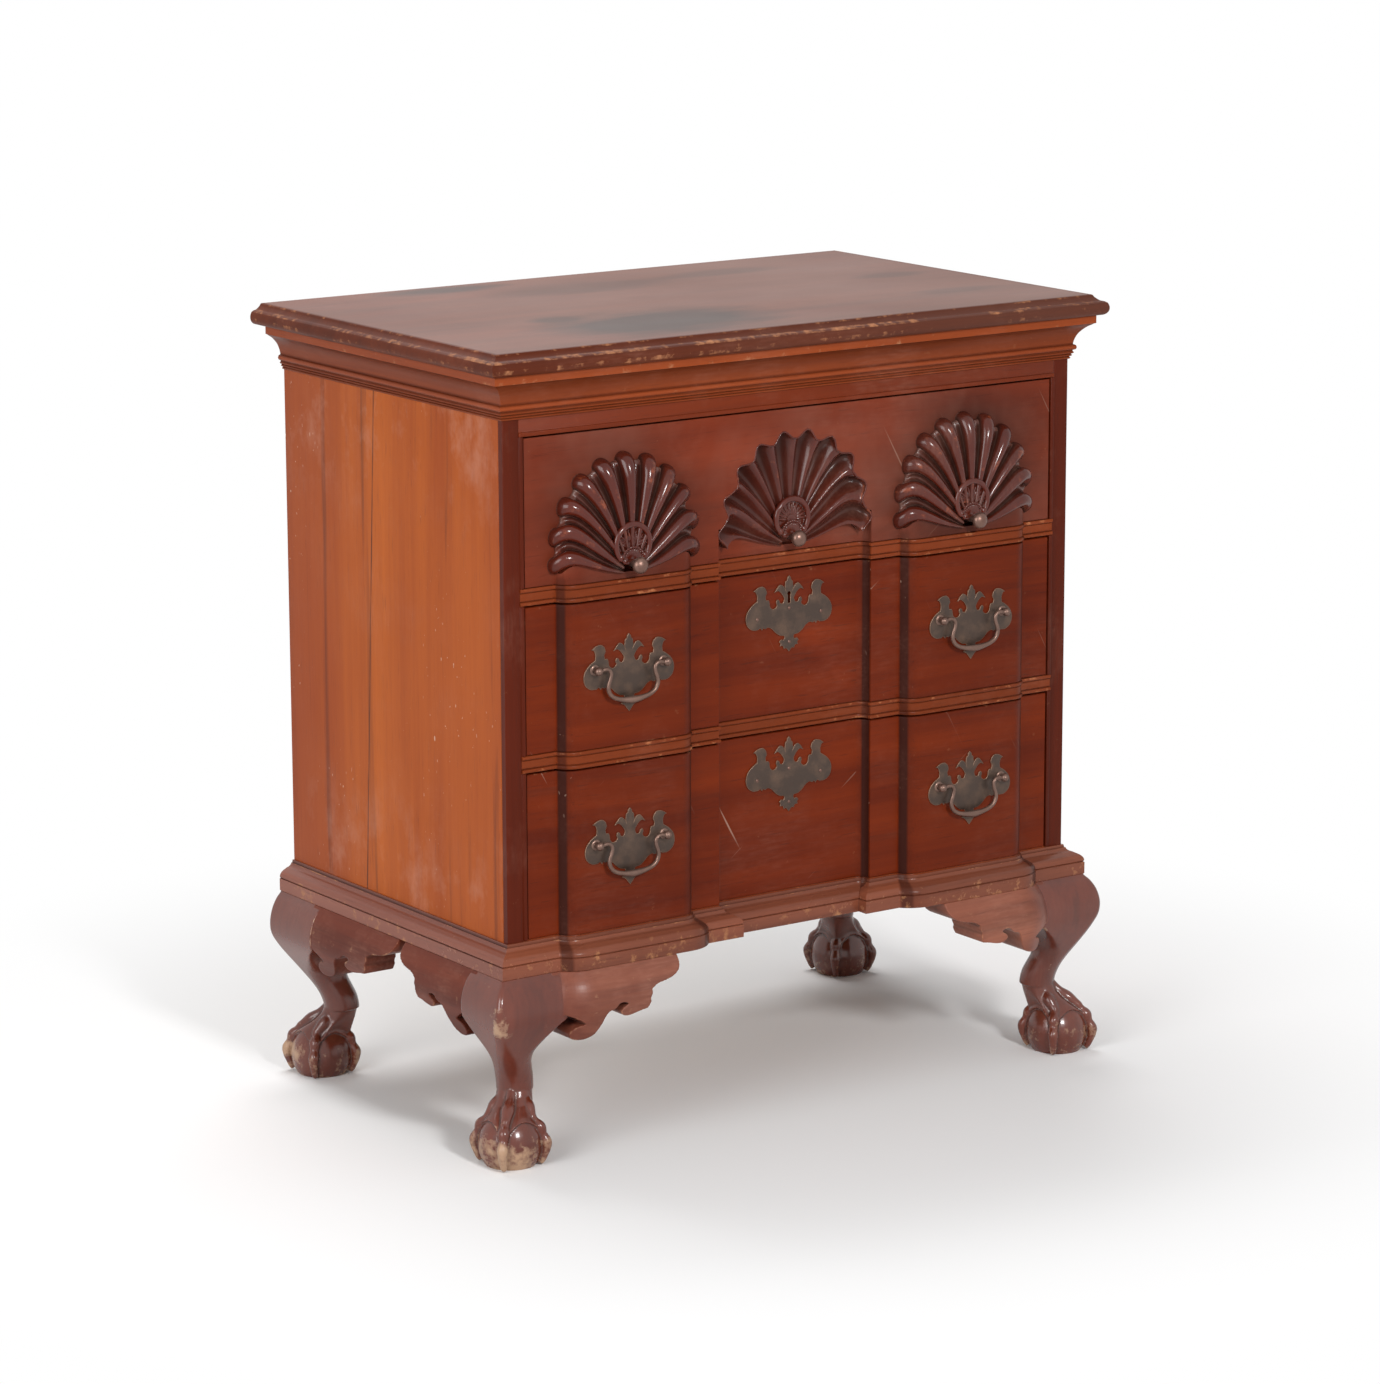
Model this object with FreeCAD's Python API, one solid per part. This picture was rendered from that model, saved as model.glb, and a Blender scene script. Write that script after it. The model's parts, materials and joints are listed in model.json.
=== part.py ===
import FreeCAD, Part
import math
import os

"""Block front chest of three drawers on ball-and-claw feet, built piece by piece.

The case frame has x = 0 at the middle, y = 0 at the flat plane of the front and z = 0 on the floor. The front faces -Y.
Every piece is moved by `origin_shift` when it is written, so that the middle of the whole depth is at y = 0.
"""

V = FreeCAD.Vector
X, Y, Z = V(1, 0, 0), V(0, 1, 0), V(0, 0, 1)

# ---------------------------------------------------------------- driving dimensions, in millimetres
# case
CASE_WIDTH = 720.0
CASE_DEPTH = 430.0
LEG_HEIGHT = 200.0  # floor to the underside of the base moulding
BASE_HEIGHT = 32.0
SILL_PROUD = 1.0  # the bottom rail stands this far above the base moulding
LOWER_OPENING = 174.0
MIDDLE_OPENING = 154.0
UPPER_OPENING = 154.0
RAIL_HEIGHT = 18.0
RAIL_DEPTH = 70.0
TOP_RAIL_HEIGHT = 66.0
TOP_RAIL_DEPTH = 20.0
SIDE_THICKNESS = 19.0
STILE_DEPTH = 8.0  # facing strip on the front edge of each side
BEAD_WIDTH = 4.5
BEAD_PROUD = 1.6
HOUSING = 6.0  # depth of the grooves in the sides that take rails and boards
BACK_THICKNESS = 12.0
BACK_REBATE = 10.0
BACK_BOARDS = 3
BOTTOM_THICKNESS = 18.0
DUST_PANEL_THICKNESS = 8.0
DUST_PANEL_TONGUE = 5.0
RUNNER_WIDTH = 22.0
GUIDE_HEIGHT = 20.0
STOP_SIZE = 4.0
STOP_LENGTH = 30.0

# top board and its moulded edge
TOP_THICKNESS = 22.0
TOP_OVERHANG = 31.0
TOP_BACK_OVERHANG = 15.0
TOP_EDGE_SLOPE = 13.5  # how far the upper arris lies in from the nose

# cornice under the top board
CORNICE_HEIGHT = 48.0
CORNICE_PROJECTION = 21.5
CORNICE_FILLET = 9.0
CORNICE_BEAD = 6.7

# base moulding
BASE_PROJECTION = 18.4
BASE_BAND = 14.5  # height of the flat band at the foot of the moulding
BASE_TOP_PROJECTION = 1.8

# blocking of the front: two raised blocks and a sunk middle
BLOCK_CENTER = 217.0
BLOCK_WIDTH = 165.0
BLOCK_PROUD = 14.0
BLOCK_ROUND = 20.0
RECESS_WIDTH = 196.0
RECESS_DEPTH = 13.0
RECESS_ROUND = 12.0
COVE_LEAST = 0.5  # where a moulding's projection leaves no room for the cove

# drawers
DRAWER_SIDE_GAP = 1.5  # between a drawer front and the bead beside it
DRAWER_TOP_GAP = 2.0
DRAWER_RUN_GAP = 0.3
FRONT_BEHIND_RECESS = 13.0  # wood left behind the sunk middle
SHELL_FRONT_EXTRA = 6.0  # the upper drawer front is this much thicker, to take the sunk shell
DRAWER_BACK_GAP = 13.0  # from the drawer's back to the back boards
DRAWER_SIDE = 10.0
DRAWER_SIDE_DROP = 8.0
DRAWER_BACK = 10.0
DRAWER_BACK_DROP = 12.0
DRAWER_BOTTOM = 8.0
DRAWER_BOTTOM_RAISE = 6.0
DRAWER_GROOVE = 4.0
DOVETAIL_LAP = 12.0
DOVETAIL_COUNT = 3
DOVETAIL_SLOPE = 3.0

# carved shells on the upper drawer
SHELL_RADIUS = 92.0
SHELL_SINK = 19.0
SHELL_PLATE = 11.0  # rise of a raised shell from its rim to its middle, between lobes and flutes
SHELL_RIM = 2.0  # thickness of a raised shell at its rim
SHELL_LOBE_RISE = 11.0  # height of the lobes of a raised shell above that middle surface
SHELL_SUNK_RISE = 5.0  # height of the ridges between the hollow lobes of the sunk shell
SHELL_FLUTE_DEPTH = 3.0
SHELL_CENTER_RISE = 36.0  # rosette centre above the lower edge of the drawer opening
SHELL_LOBES = 11
SHELL_LOBE_STEP = 19.0  # degrees from one lobe to the next
SHELL_LOBE_HALF = 5.6  # degrees, half of one lobe
SHELL_SCALLOP = 8.0
SHELL_SKIRT = 27.0  # rosette centre to the lowest point of the shell
ROSETTE_RADIUS = 22.0
ROSETTE_PROUD = 5.0

# round knobs below the shells
KNOB_DIAMETER = 17.5
KNOB_PROJECTION = 25.0
KNOB_STEM = 7.0
KNOB_DROP = 21.0  # rosette centre to the knob's axis

# pulls and escutcheons
PULL_CENTER = 220.0
PULL_DROP = 2.5  # plate line below the middle of the drawer opening
PLATE_HALF_WIDTH = 55.5
DRAWN_PLATE_HALF_WIDTH = 55.5  # the half width that the plate's outline is drawn for
PLATE_THICKNESS = 1.6
POST_SPACING = 84.0
POST_RISE = 7.5  # pivot line above the plate line
POST_RADIUS = 3.2
POST_HEAD = 4.6
PIVOT_STANDOFF = 8.5  # pivot line in front of the drawer face
BAIL_DROP = 34.0
BAIL_RADIUS = 2.1
BAIL_SWELL = 3.6
BAIL_NECK = 26.5
BAIL_BELLY = 31.0
ESCUTCHEON_DROP = 49.0  # plate line below the top of the drawer opening
KEYHOLE_RISE = 18.0
KEYHOLE_WIDTH = 4.0
KEYHOLE_HEIGHT = 13.0

# lock on the middle drawer
LOCK_WIDTH = 60.0
LOCK_HEIGHT = 44.0
LOCK_DEPTH = 7.0
BOLT_WIDTH = 16.0
BOLT_DEPTH = 4.0
BOLT_LENGTH = 16.0
BOLT_THROW = 6.0
BOLT_CLEARANCE = 0.4

# legs
KNEE_WIDTH = 70.0
KNEE_DEPTH = 58.0
REAR_KNEE_DEPTH = 88.0
KNEE_BULGE = 14.5
KNEE_HEIGHT = 163.0
KNEE_UNDERSIDE = 153.0
SHIN_HEIGHT = 118.0  # narrowest part of the leg below the knee
SHIN_INNER = 9.5  # its inner faces lie this far beyond the centre of the ankle
ANKLE_HEIGHT = 77.0
ANKLE_RADIUS = 19.0
NECK_HEIGHT = 56.0  # where the ankle runs into the ball
NECK_HALF = 18.0  # its outer faces lie this far outside the centre of the ball
FRONT_ANKLE_INSET = 36.0  # ankle centre in from the corner of the base moulding, each way
REAR_ANKLE_SIDE_INSET = 44.0
REAR_ANKLE_BACK_INSET = 52.0
FRONT_FOOT_INSET = 20.0
REAR_FOOT_SIDE_INSET = 28.0
REAR_FOOT_BACK_INSET = 36.0
BALL_RADIUS = 37.0
BALL_HEIGHT = 23.0  # ball centre above the floor
TOE_WIDTH = 12.0
TOE_REACH = 46.0
SIDE_TOE_REACH = 44.0
TOE_TOP = 70.0

# scrolled knee brackets
BRACKET_THICKNESS = 24.0
FRONT_BRACKET_LENGTH = 139.0
SIDE_BRACKET_LENGTH = 135.0
BRACKET_GAP = 2.0  # between the two brackets of one side
BRACKET_DROP = 69.0
DRAWN_BRACKET_LENGTH = 139.0  # the length and the drop that the scrolled outline is drawn for
DRAWN_BRACKET_DROP = 69.0
GLUE_BLOCK = 25.0
GLUE_BLOCK_LENGTH = 60.0
GLUE_BLOCK_OFFSET = 10.0

COINCIDENT = 1e-6  # points nearer than this are one point

# small pieces that pass through others
FIT = 0.3

# number of flat facets that stand for one curved stretch
ARC_FACETS = 4
COVE_FACETS = 3
BLOCK_FACETS = 3
RING_CORNER_POINTS = 3
TURNED_FACETS = 12
STEM_FACETS = 8
POST_FACETS = 6
BAIL_FACETS = 6

# ---------------------------------------------------------------- sizes worked out from the driving dimensions
half_width = CASE_WIDTH / 2
inner_x = half_width - SIDE_THICKNESS
opening_x = inner_x - BEAD_WIDTH
drawer_x = opening_x - DRAWER_SIDE_GAP
z_sill = LEG_HEIGHT + BASE_HEIGHT + SILL_PROUD
z_lower_rail = z_sill + LOWER_OPENING
z_middle = z_lower_rail + RAIL_HEIGHT
z_upper_rail = z_middle + MIDDLE_OPENING
z_upper = z_upper_rail + RAIL_HEIGHT
z_top_rail = z_upper + UPPER_OPENING
z_top = z_top_rail + TOP_RAIL_HEIGHT
back_plane = CASE_DEPTH - BACK_THICKNESS
front_back = RECESS_DEPTH + FRONT_BEHIND_RECESS
drawer_end = back_plane - DRAWER_BACK_GAP
corner_x = half_width + BASE_PROJECTION
rosette_z = z_upper + SHELL_CENTER_RISE
block_round = max(BLOCK_ROUND, BLOCK_PROUD)
block_inset = math.sqrt(block_round ** 2 - (block_round - BLOCK_PROUD) ** 2)
block_turns = [BLOCK_CENTER - BLOCK_WIDTH / 2 + block_inset, BLOCK_CENTER + BLOCK_WIDTH / 2 - block_inset]
lobe_half_span = (SHELL_LOBES - 1) / 2

front_reach = max(BLOCK_PROUD + KNOB_PROJECTION, TOP_OVERHANG, BLOCK_PROUD + BASE_PROJECTION + KNEE_BULGE)
back_reach = CASE_DEPTH + TOP_BACK_OVERHANG
origin_shift = (front_reach - back_reach) / 2


# ---------------------------------------------------------------- general shapes
def save(name, *solids):
    """Write one node: each solid moved from the case frame to the part's origin."""
    shape = solids[0] if len(solids) == 1 else Part.makeCompound(list(solids))
    shape = shape.copy()
    shape.translate(V(0, origin_shift, 0))
    shape.exportStep(os.path.join("parts", name + ".step"))


def box(x0, x1, y0, y1, z0, z1):
    return Part.makeBox(x1 - x0, y1 - y0, z1 - z0, V(x0, y0, z0))


def polygon_face(points):
    return Part.Face(Part.makePolygon(points + [points[0]]))


def prism(points, along):
    return polygon_face(points).extrude(along)


def mirrored(shape):
    return shape.mirror(V(0, 0, 0), X)


def arc_points(start, middle, end, facets=ARC_FACETS):
    """Points on the arc through three (a, b) pairs, from start to end."""
    arc = Part.Arc(V(*start, 0), V(*middle, 0), V(*end, 0))
    return [(p.x, p.y) for p in arc.toShape().discretize(facets + 1)]


def smooth(stations, height):
    """Values at a height, eased between stations of (height, value, value ...), highest first."""
    for upper, lower in zip(stations, stations[1:]):
        if height >= lower[0]:
            share = (height - lower[0]) / (upper[0] - lower[0])
            share = (1 - math.cos(math.pi * share)) / 2
            return [a + (b - a) * share for a, b in zip(lower[1:], upper[1:])]
    return list(stations[-1][1:])


def ring_solid(rings):
    """Closed solid of flat triangles through rings that all have the same number of points."""
    faces = [polygon_face(rings[0]), polygon_face(rings[-1])]
    count = len(rings[0])
    for low, high in zip(rings, rings[1:]):
        for i in range(count):
            j = (i + 1) % count
            for a, b, c in ((low[i], low[j], high[j]), (low[i], high[j], high[i])):
                if min(a.distanceToPoint(b), b.distanceToPoint(c), c.distanceToPoint(a)) > COINCIDENT:
                    faces.append(polygon_face([a, b, c]))
    solid = Part.Solid(Part.Shell(faces))
    if solid.Volume < 0:
        solid.reverse()
    return solid


def turned(profile, base, axis, across, facets=TURNED_FACETS):
    """Turned piece with flat sides: profile is (radius, distance along the axis)."""
    other = axis.cross(across)
    rings = []
    for radius, along in profile:
        turn = [2 * math.pi * k / facets for k in range(facets)]
        rings.append([base + axis * along + across * (radius * math.cos(t)) + other * (radius * math.sin(t))
                      for t in turn])
    return ring_solid(rings)


# ---------------------------------------------------------------- blocked front
def blocked_line(grow):
    """Plan of the blocked front as (x, y) pairs from left to right, `grow` in front of the drawer faces."""
    turn_y = block_round - BLOCK_PROUD
    radius = block_round + grow
    lean = math.degrees(math.asin((turn_y + grow) / radius))
    wall, floor = RECESS_WIDTH / 2 - grow, RECESS_DEPTH - grow
    cove = max(min(RECESS_ROUND, RECESS_DEPTH) - grow, COVE_LEAST)

    def arc(x, y, r, start, end, facets):
        turns = [math.radians(start + (end - start) * k / facets) for k in range(facets + 1)]
        return [(x + r * math.cos(t), y + r * math.sin(t)) for t in turns]

    half = arc(wall - cove, floor - cove, cove, 90, 0, COVE_FACETS) + [(wall, -grow)]
    half += arc(block_turns[0], turn_y, radius, 180 + lean, 270, BLOCK_FACETS)
    half += arc(block_turns[1], turn_y, radius, 270, 360 - lean, BLOCK_FACETS)
    return [(-x, y) for x, y in reversed(half)] + half


def blocked_slab(grow, half, back, z0, z1):
    """Board whose front edge follows the blocking, from -half to half."""
    line = [(-half, back), (-half, -grow)] + blocked_line(grow) + [(half, -grow), (half, back)]
    return prism([V(x, y, z0) for x, y in line], Z * (z1 - z0))


def blocked_run(profile, half, back=None):
    """Moulding that follows the blocking; profile is (projection, height).

    It has a flat back at y = back and square ends, or, where no back is given, it lies against the blocked
    boards and is mitred at its ends.
    """
    mitre = 1 if back is None else 0
    lines = [[(-half - g * mitre, -g)] + blocked_line(g) + [(half + g * mitre, -g)] for g, _ in profile]
    low, high = profile[0][1], profile[-1][1]
    rings = []
    for k, (x, y) in enumerate([(-half, 0)] + blocked_line(0) + [(half, 0)]):
        front = [V(*line[k], z) for line, (_, z) in zip(lines, profile)]
        y = y if back is None else back
        rings.append(front + [V(x, y, high), V(x, y, low)])
    return ring_solid(rings).removeSplitter()


# ---------------------------------------------------------------- case
def make_top_board():
    slope, nose = TOP_EDGE_SLOPE, TOP_OVERHANG
    thick = TOP_THICKNESS
    edge = arc_points((nose - 6, 0), (nose, 0.35 * thick), (nose - 3, 0.64 * thick))
    edge += [(nose - 4, 0.68 * thick)]
    edge += arc_points((nose - 4.6, 0.68 * thick), (nose - 11, 0.78 * thick), (nose - slope, thick))
    side = [V(half_width + g, 0, z_top + z) for g, z in edge]
    across = side + [V(-p.x, 0, p.z) for p in reversed(side)]
    across = [p - Y * CASE_WIDTH for p in across]
    inward = [V(-CASE_WIDTH, -g, z_top + z) for g, z in edge]
    inward += [V(-CASE_WIDTH, back_reach, z_top + thick), V(-CASE_WIDTH, back_reach, z_top)]
    return prism(across, Y * (3 * CASE_WIDTH)).common(prism(inward, X * (2 * CASE_WIDTH)))


def mitred_frame(profile, depth):
    """Front length and one return of a moulding that meet on a mitre; profile is (projection, height)."""
    out = max(g for g, _ in profile)
    low, high = min(z for _, z in profile), max(z for _, z in profile)
    points = [V(0, -g, z) for g, z in profile]
    front = prism([p - X * (half_width + out) for p in points], X * (2 * (half_width + out)))
    plan = [V(-half_width, 0, low), V(-half_width - out, -out, low), V(half_width + out, -out, low),
            V(half_width, 0, low)]
    front = front.common(prism(plan, Z * (high - low)))
    side = prism([V(half_width + g, -out, z) for g, z in profile], Y * (depth + out))
    plan = [V(half_width, 0, low), V(half_width + out, -out, low), V(half_width + out, depth, low),
            V(half_width, depth, low)]
    return front, side.common(prism(plan, Z * (high - low)))


def make_cornice():
    out, bead = CORNICE_PROJECTION, CORNICE_BEAD
    low = z_top - CORNICE_HEIGHT
    cove_low, cove_high = low + 0.34 * CORNICE_HEIGHT, z_top - CORNICE_FILLET
    profile = [(0, low), (1, low), (2, low + 4)]
    profile += arc_points((2, low + 4), (bead - 2, low + 6), (bead - 2.6, low + 9))
    profile += arc_points((bead - 2.6, low + 9), (bead, low + 12.5), (bead - 2.3, cove_low))[1:]
    profile += arc_points((bead - 2.3, cove_low), (bead + 3, cove_low + 0.62 * (cove_high - cove_low)),
                          (out, cove_high), 2 * ARC_FACETS)[1:]
    return mitred_frame(profile + [(out, z_top), (0, z_top)], CASE_DEPTH)


def base_profile():
    low, high = LEG_HEIGHT, LEG_HEIGHT + BASE_HEIGHT
    out, band = BASE_PROJECTION, LEG_HEIGHT + BASE_BAND
    middle = ((out + BASE_TOP_PROJECTION) / 2, (band + high) / 2)
    profile = [(out, low), (out, band)]
    profile += arc_points((out - 0.8, band + 1), (out - 2.4, band + 5.5), middle, 2)
    profile += arc_points(middle, (BASE_TOP_PROJECTION + 2.6, high - 5), (BASE_TOP_PROJECTION, high), 2)[1:]
    return profile


def make_base_molding():
    profile = base_profile()
    closed = [(0, LEG_HEIGHT)] + profile + [(0, LEG_HEIGHT + BASE_HEIGHT)]
    _, side = mitred_frame(closed, CASE_DEPTH)
    return blocked_run(profile, half_width), side


def make_sides():
    panel = box(inner_x, half_width, STILE_DEPTH, CASE_DEPTH, LEG_HEIGHT, z_top)
    panel = panel.cut(box(inner_x, inner_x + BACK_REBATE, back_plane, CASE_DEPTH, LEG_HEIGHT, z_top))
    strip = box(inner_x, half_width, 0, STILE_DEPTH, LEG_HEIGHT, z_top)
    beads = [box(opening_x, inner_x, -BEAD_PROUD, STILE_DEPTH, z0, z1) for z0, z1 in openings]
    return panel, strip.fuse(beads).removeSplitter()


openings = [(z_upper, z_top_rail), (z_middle, z_upper_rail), (z_sill, z_lower_rail)]


def make_drawer_rail(z0):
    """Rail between two drawers: blocked, with a bead along both edges and a stub in each side."""
    z1 = z0 + RAIL_HEIGHT
    profile = [(BEAD_PROUD, z0), (BEAD_PROUD, z0 + BEAD_WIDTH), (0, z0 + BEAD_WIDTH), (0, z1 - BEAD_WIDTH),
               (BEAD_PROUD, z1 - BEAD_WIDTH), (BEAD_PROUD, z1)]
    rail = blocked_run(profile, inner_x, RAIL_DEPTH)
    stubs = [box(inner_x, inner_x + HOUSING, STILE_DEPTH, RAIL_DEPTH, z0, z1)]
    return rail.fuse(stubs + [mirrored(stubs[0])]).removeSplitter()


def make_dust_panel(z0):
    middle = z0 + RAIL_HEIGHT / 2
    reach = inner_x - RUNNER_WIDTH + DUST_PANEL_TONGUE
    return box(-reach, reach, RAIL_DEPTH - DUST_PANEL_TONGUE, back_plane,
               middle - DUST_PANEL_THICKNESS / 2, middle + DUST_PANEL_THICKNESS / 2)


def make_case():
    panel, stile = make_sides()
    rails = [make_drawer_rail(z_upper_rail), make_drawer_rail(z_lower_rail)]
    dust_panels = [make_dust_panel(z_upper_rail), make_dust_panel(z_lower_rail)]
    rails = [rail.cut(dust) for rail, dust in zip(rails, dust_panels)]
    mortise = bolt_box(BOLT_CLEARANCE, BOLT_THROW + 1)
    rails[0] = rails[0].cut(mortise)
    runners = []
    for dust, z0 in zip(dust_panels, (z_upper_rail, z_lower_rail)):
        runner = box(inner_x - RUNNER_WIDTH, inner_x, RAIL_DEPTH, back_plane, z0, z0 + RAIL_HEIGHT).cut(dust)
        runners += [runner, mirrored(runner)]
    top_rail = box(-inner_x, inner_x, 0, TOP_RAIL_DEPTH, z_top_rail, z_top)
    top_rail = top_rail.fuse([box(-inner_x, inner_x, -BEAD_PROUD, STILE_DEPTH, z_top_rail, z_top_rail + BEAD_WIDTH),
                              box(-inner_x - HOUSING, inner_x + HOUSING, STILE_DEPTH, TOP_RAIL_DEPTH,
                                  z_top_rail, z_top)]).removeSplitter()
    bottom_rail = blocked_slab(0, inner_x, RAIL_DEPTH, LEG_HEIGHT, z_sill)
    bottom_board = box(-inner_x - HOUSING, inner_x + HOUSING, RAIL_DEPTH, back_plane,
                       z_sill - BOTTOM_THICKNESS, z_sill)
    housed = [top_rail, rails[0], rails[1], bottom_board]
    for piece in housed:
        panel = panel.cut(piece)
    guides, stops = [], []
    for z0, z1 in openings:
        guide = box(opening_x, inner_x, RAIL_DEPTH, drawer_end, z0, z0 + GUIDE_HEIGHT)
        guides += [guide, mirrored(guide)]
        back = front_back + DRAWER_RUN_GAP + (SHELL_FRONT_EXTRA if z0 == z_upper else 0)
        stop = box(BLOCK_CENTER, BLOCK_CENTER + STOP_LENGTH, back, back + STOP_LENGTH, z0, z0 + STOP_SIZE)
        stops += [stop, mirrored(stop)]
    save("side_panel_right", panel)
    save("side_panel_left", mirrored(panel))
    save("stile_right", stile)
    save("stile_left", mirrored(stile))
    save("top_rail", top_rail)
    save("drawer_rail_upper", rails[0])
    save("drawer_rail_lower", rails[1])
    save("bottom_rail", bottom_rail)
    save("bottom_board", bottom_board)
    save("dust_panels", *dust_panels)
    save("drawer_runners", *runners)
    save("drawer_guides", *guides)
    save("drawer_stops", *stops)
    edge = inner_x + BACK_REBATE
    step = (z_top - LEG_HEIGHT) / BACK_BOARDS
    save("back_boards", *[box(-edge, edge, back_plane, CASE_DEPTH, LEG_HEIGHT + k * step, LEG_HEIGHT + (k + 1) * step)
                          for k in range(BACK_BOARDS)])


def make_moldings():
    save("top_board", make_top_board())
    for name, (front, side) in (("cornice", make_cornice()), ("base_molding", make_base_molding())):
        save(name + "_front", front)
        save(name + "_right", side)
        save(name + "_left", mirrored(side))


# ---------------------------------------------------------------- legs and brackets
def leg_ring(z, x0, x1, y0, y1, corner):
    """Rounded rectangle at height z; each corner is an arc of flat chords."""
    corner = min(corner, 0.96 * min(x1 - x0, y1 - y0) / 2)
    step = 90.0 / RING_CORNER_POINTS
    reach = corner / math.cos(math.radians(step / 2))
    points = []
    for k, (cx, cy) in enumerate(((x1 - corner, y1 - corner), (x0 + corner, y1 - corner),
                                  (x0 + corner, y0 + corner), (x1 - corner, y0 + corner))):
        for j in range(RING_CORNER_POINTS):
            turn = math.radians(90 * k + step * (j + 0.5))
            points.append(V(cx + reach * math.cos(turn), cy + reach * math.sin(turn), z))
    return points


def toe(center, heading, reach):
    """One toe: a flat plate with two knuckles and a claw, standing on the ball towards `heading` degrees."""
    knuckles = arc_points((0.36 * reach, TOE_TOP), (0.58 * reach, 57), (0.67 * reach, 47), 2)
    knuckles += arc_points((0.7 * reach, 45), (0.92 * reach, 38), (reach, 27), 3)
    knuckles += arc_points((0.96 * reach, 25), (0.94 * reach, 14), (0.78 * reach, 4), 2)
    outline = [(0, 0), (0, TOE_TOP)] + knuckles + [(0.7 * reach, 0)]
    plate = prism([V(r, -TOE_WIDTH / 2, z) for r, z in outline], Y * TOE_WIDTH)
    plate.rotate(V(0, 0, 0), Z, heading)
    plate.translate(center)
    return plate


def make_leg(knee_depth, back_bulge, ankle, foot):
    """Leg in its own corner frame: x and y grow inwards from the corner of the base moulding."""
    (ax, ay), (fx, fy) = ankle, foot
    bulge, width, r = KNEE_BULGE, KNEE_WIDTH, ANKLE_RADIUS
    stations = [
        (LEG_HEIGHT, 0, width, 0, knee_depth, 3),
        (KNEE_HEIGHT, -bulge, width, -back_bulge, knee_depth, 6),
        (KNEE_UNDERSIDE, 0.05 * ax - bulge, width, 0.05 * ay - back_bulge, knee_depth, 8),
        (SHIN_HEIGHT, 0.45 * ax - bulge, ax + SHIN_INNER, 0.45 * ay - back_bulge, ay + SHIN_INNER, 15),
        (ANKLE_HEIGHT, ax - r, ax + r, ay - r, ay + r, r),
        (NECK_HEIGHT, fx - NECK_HALF, ax + r - 4, fy - NECK_HALF, ay + r - 4, r + 3),
    ]
    knee, shin, ankle = LEG_HEIGHT - KNEE_HEIGHT, KNEE_UNDERSIDE - SHIN_HEIGHT, SHIN_HEIGHT - ANKLE_HEIGHT
    heights = [LEG_HEIGHT - knee * math.sin(k * math.pi / 4) for k in range(3)]
    heights += [SHIN_HEIGHT + shin * k / 3 for k in (3, 2, 1, 0)]
    heights += [ANKLE_HEIGHT + ankle / 2, ANKLE_HEIGHT, NECK_HEIGHT]
    rings = [leg_ring(z, *smooth(stations, z)) for z in heights]
    for z in (45, BALL_HEIGHT + 8, BALL_HEIGHT - 9, 0):
        radius = math.sqrt(BALL_RADIUS ** 2 - (z - BALL_HEIGHT) ** 2)
        rings.append(leg_ring(z, fx - radius, fx + radius, fy - radius, fy + radius, radius))
    body = ring_solid(rings[::-1])
    center = V(fx, fy, 0)
    toes = [toe(center, 225, TOE_REACH), toe(center, 45, SIDE_TOE_REACH), toe(center, 135, SIDE_TOE_REACH),
            toe(center, 315, SIDE_TOE_REACH)]
    return body.fuse(toes).removeSplitter()


def make_legs():
    front = make_leg(KNEE_DEPTH, KNEE_BULGE, (FRONT_ANKLE_INSET, FRONT_ANKLE_INSET), (FRONT_FOOT_INSET,) * 2)
    rear = make_leg(REAR_KNEE_DEPTH, 0, (REAR_ANKLE_SIDE_INSET, REAR_ANKLE_BACK_INSET),
                    (REAR_FOOT_SIDE_INSET, REAR_FOOT_BACK_INSET))
    front.translate(V(-corner_x, -BASE_PROJECTION, 0))
    rear = rear.mirror(V(0, 0, 0), Y)
    rear.translate(V(-corner_x, CASE_DEPTH, 0))
    for name, leg in (("leg_front", front), ("leg_rear", rear)):
        save(name + "_left", leg)
        save(name + "_right", mirrored(leg))


def bracket_outline(length):
    """Scrolled outline of a bracket as (distance from the leg, height), from the leg to the tip."""
    top, t, drop = LEG_HEIGHT, length / DRAWN_BRACKET_LENGTH, BRACKET_DROP / DRAWN_BRACKET_DROP
    notch = [(0, top - 48 * drop), (14 * t, top - 51 * drop), (27 * t, top - 60 * drop)]
    scroll = arc_points((0, top - 60 * drop), (15 * t, top - BRACKET_DROP), (37 * t, top - 62 * drop), 3)
    rise = arc_points((37 * t, top - 62 * drop), (46 * t, top - 50 * drop), (57 * t, top - 43 * drop), 2)
    pocket = [(80 * t, top - 40 * drop)]
    small = arc_points((72 * t, top - 52 * drop), (87 * t, top - 52.5 * drop), (101 * t, top - 47 * drop), 2)
    tip = arc_points((104 * t, top - 37 * drop), (122 * t, top - 24 * drop), (length, top - 15 * drop), 3)
    return [(0, top)] + notch + scroll + rise[1:] + pocket + small + tip + [(length - 3, top)]


def bulge_profile():
    """Outer face of a bracket as (projection, height), from below its lowest point up to its top."""
    out, bulge = BASE_PROJECTION, KNEE_BULGE
    low = LEG_HEIGHT - BRACKET_DROP - 5
    return arc_points((out + 0.2 * bulge, low), (out + bulge, KNEE_HEIGHT), (out, LEG_HEIGHT), 5)


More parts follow.
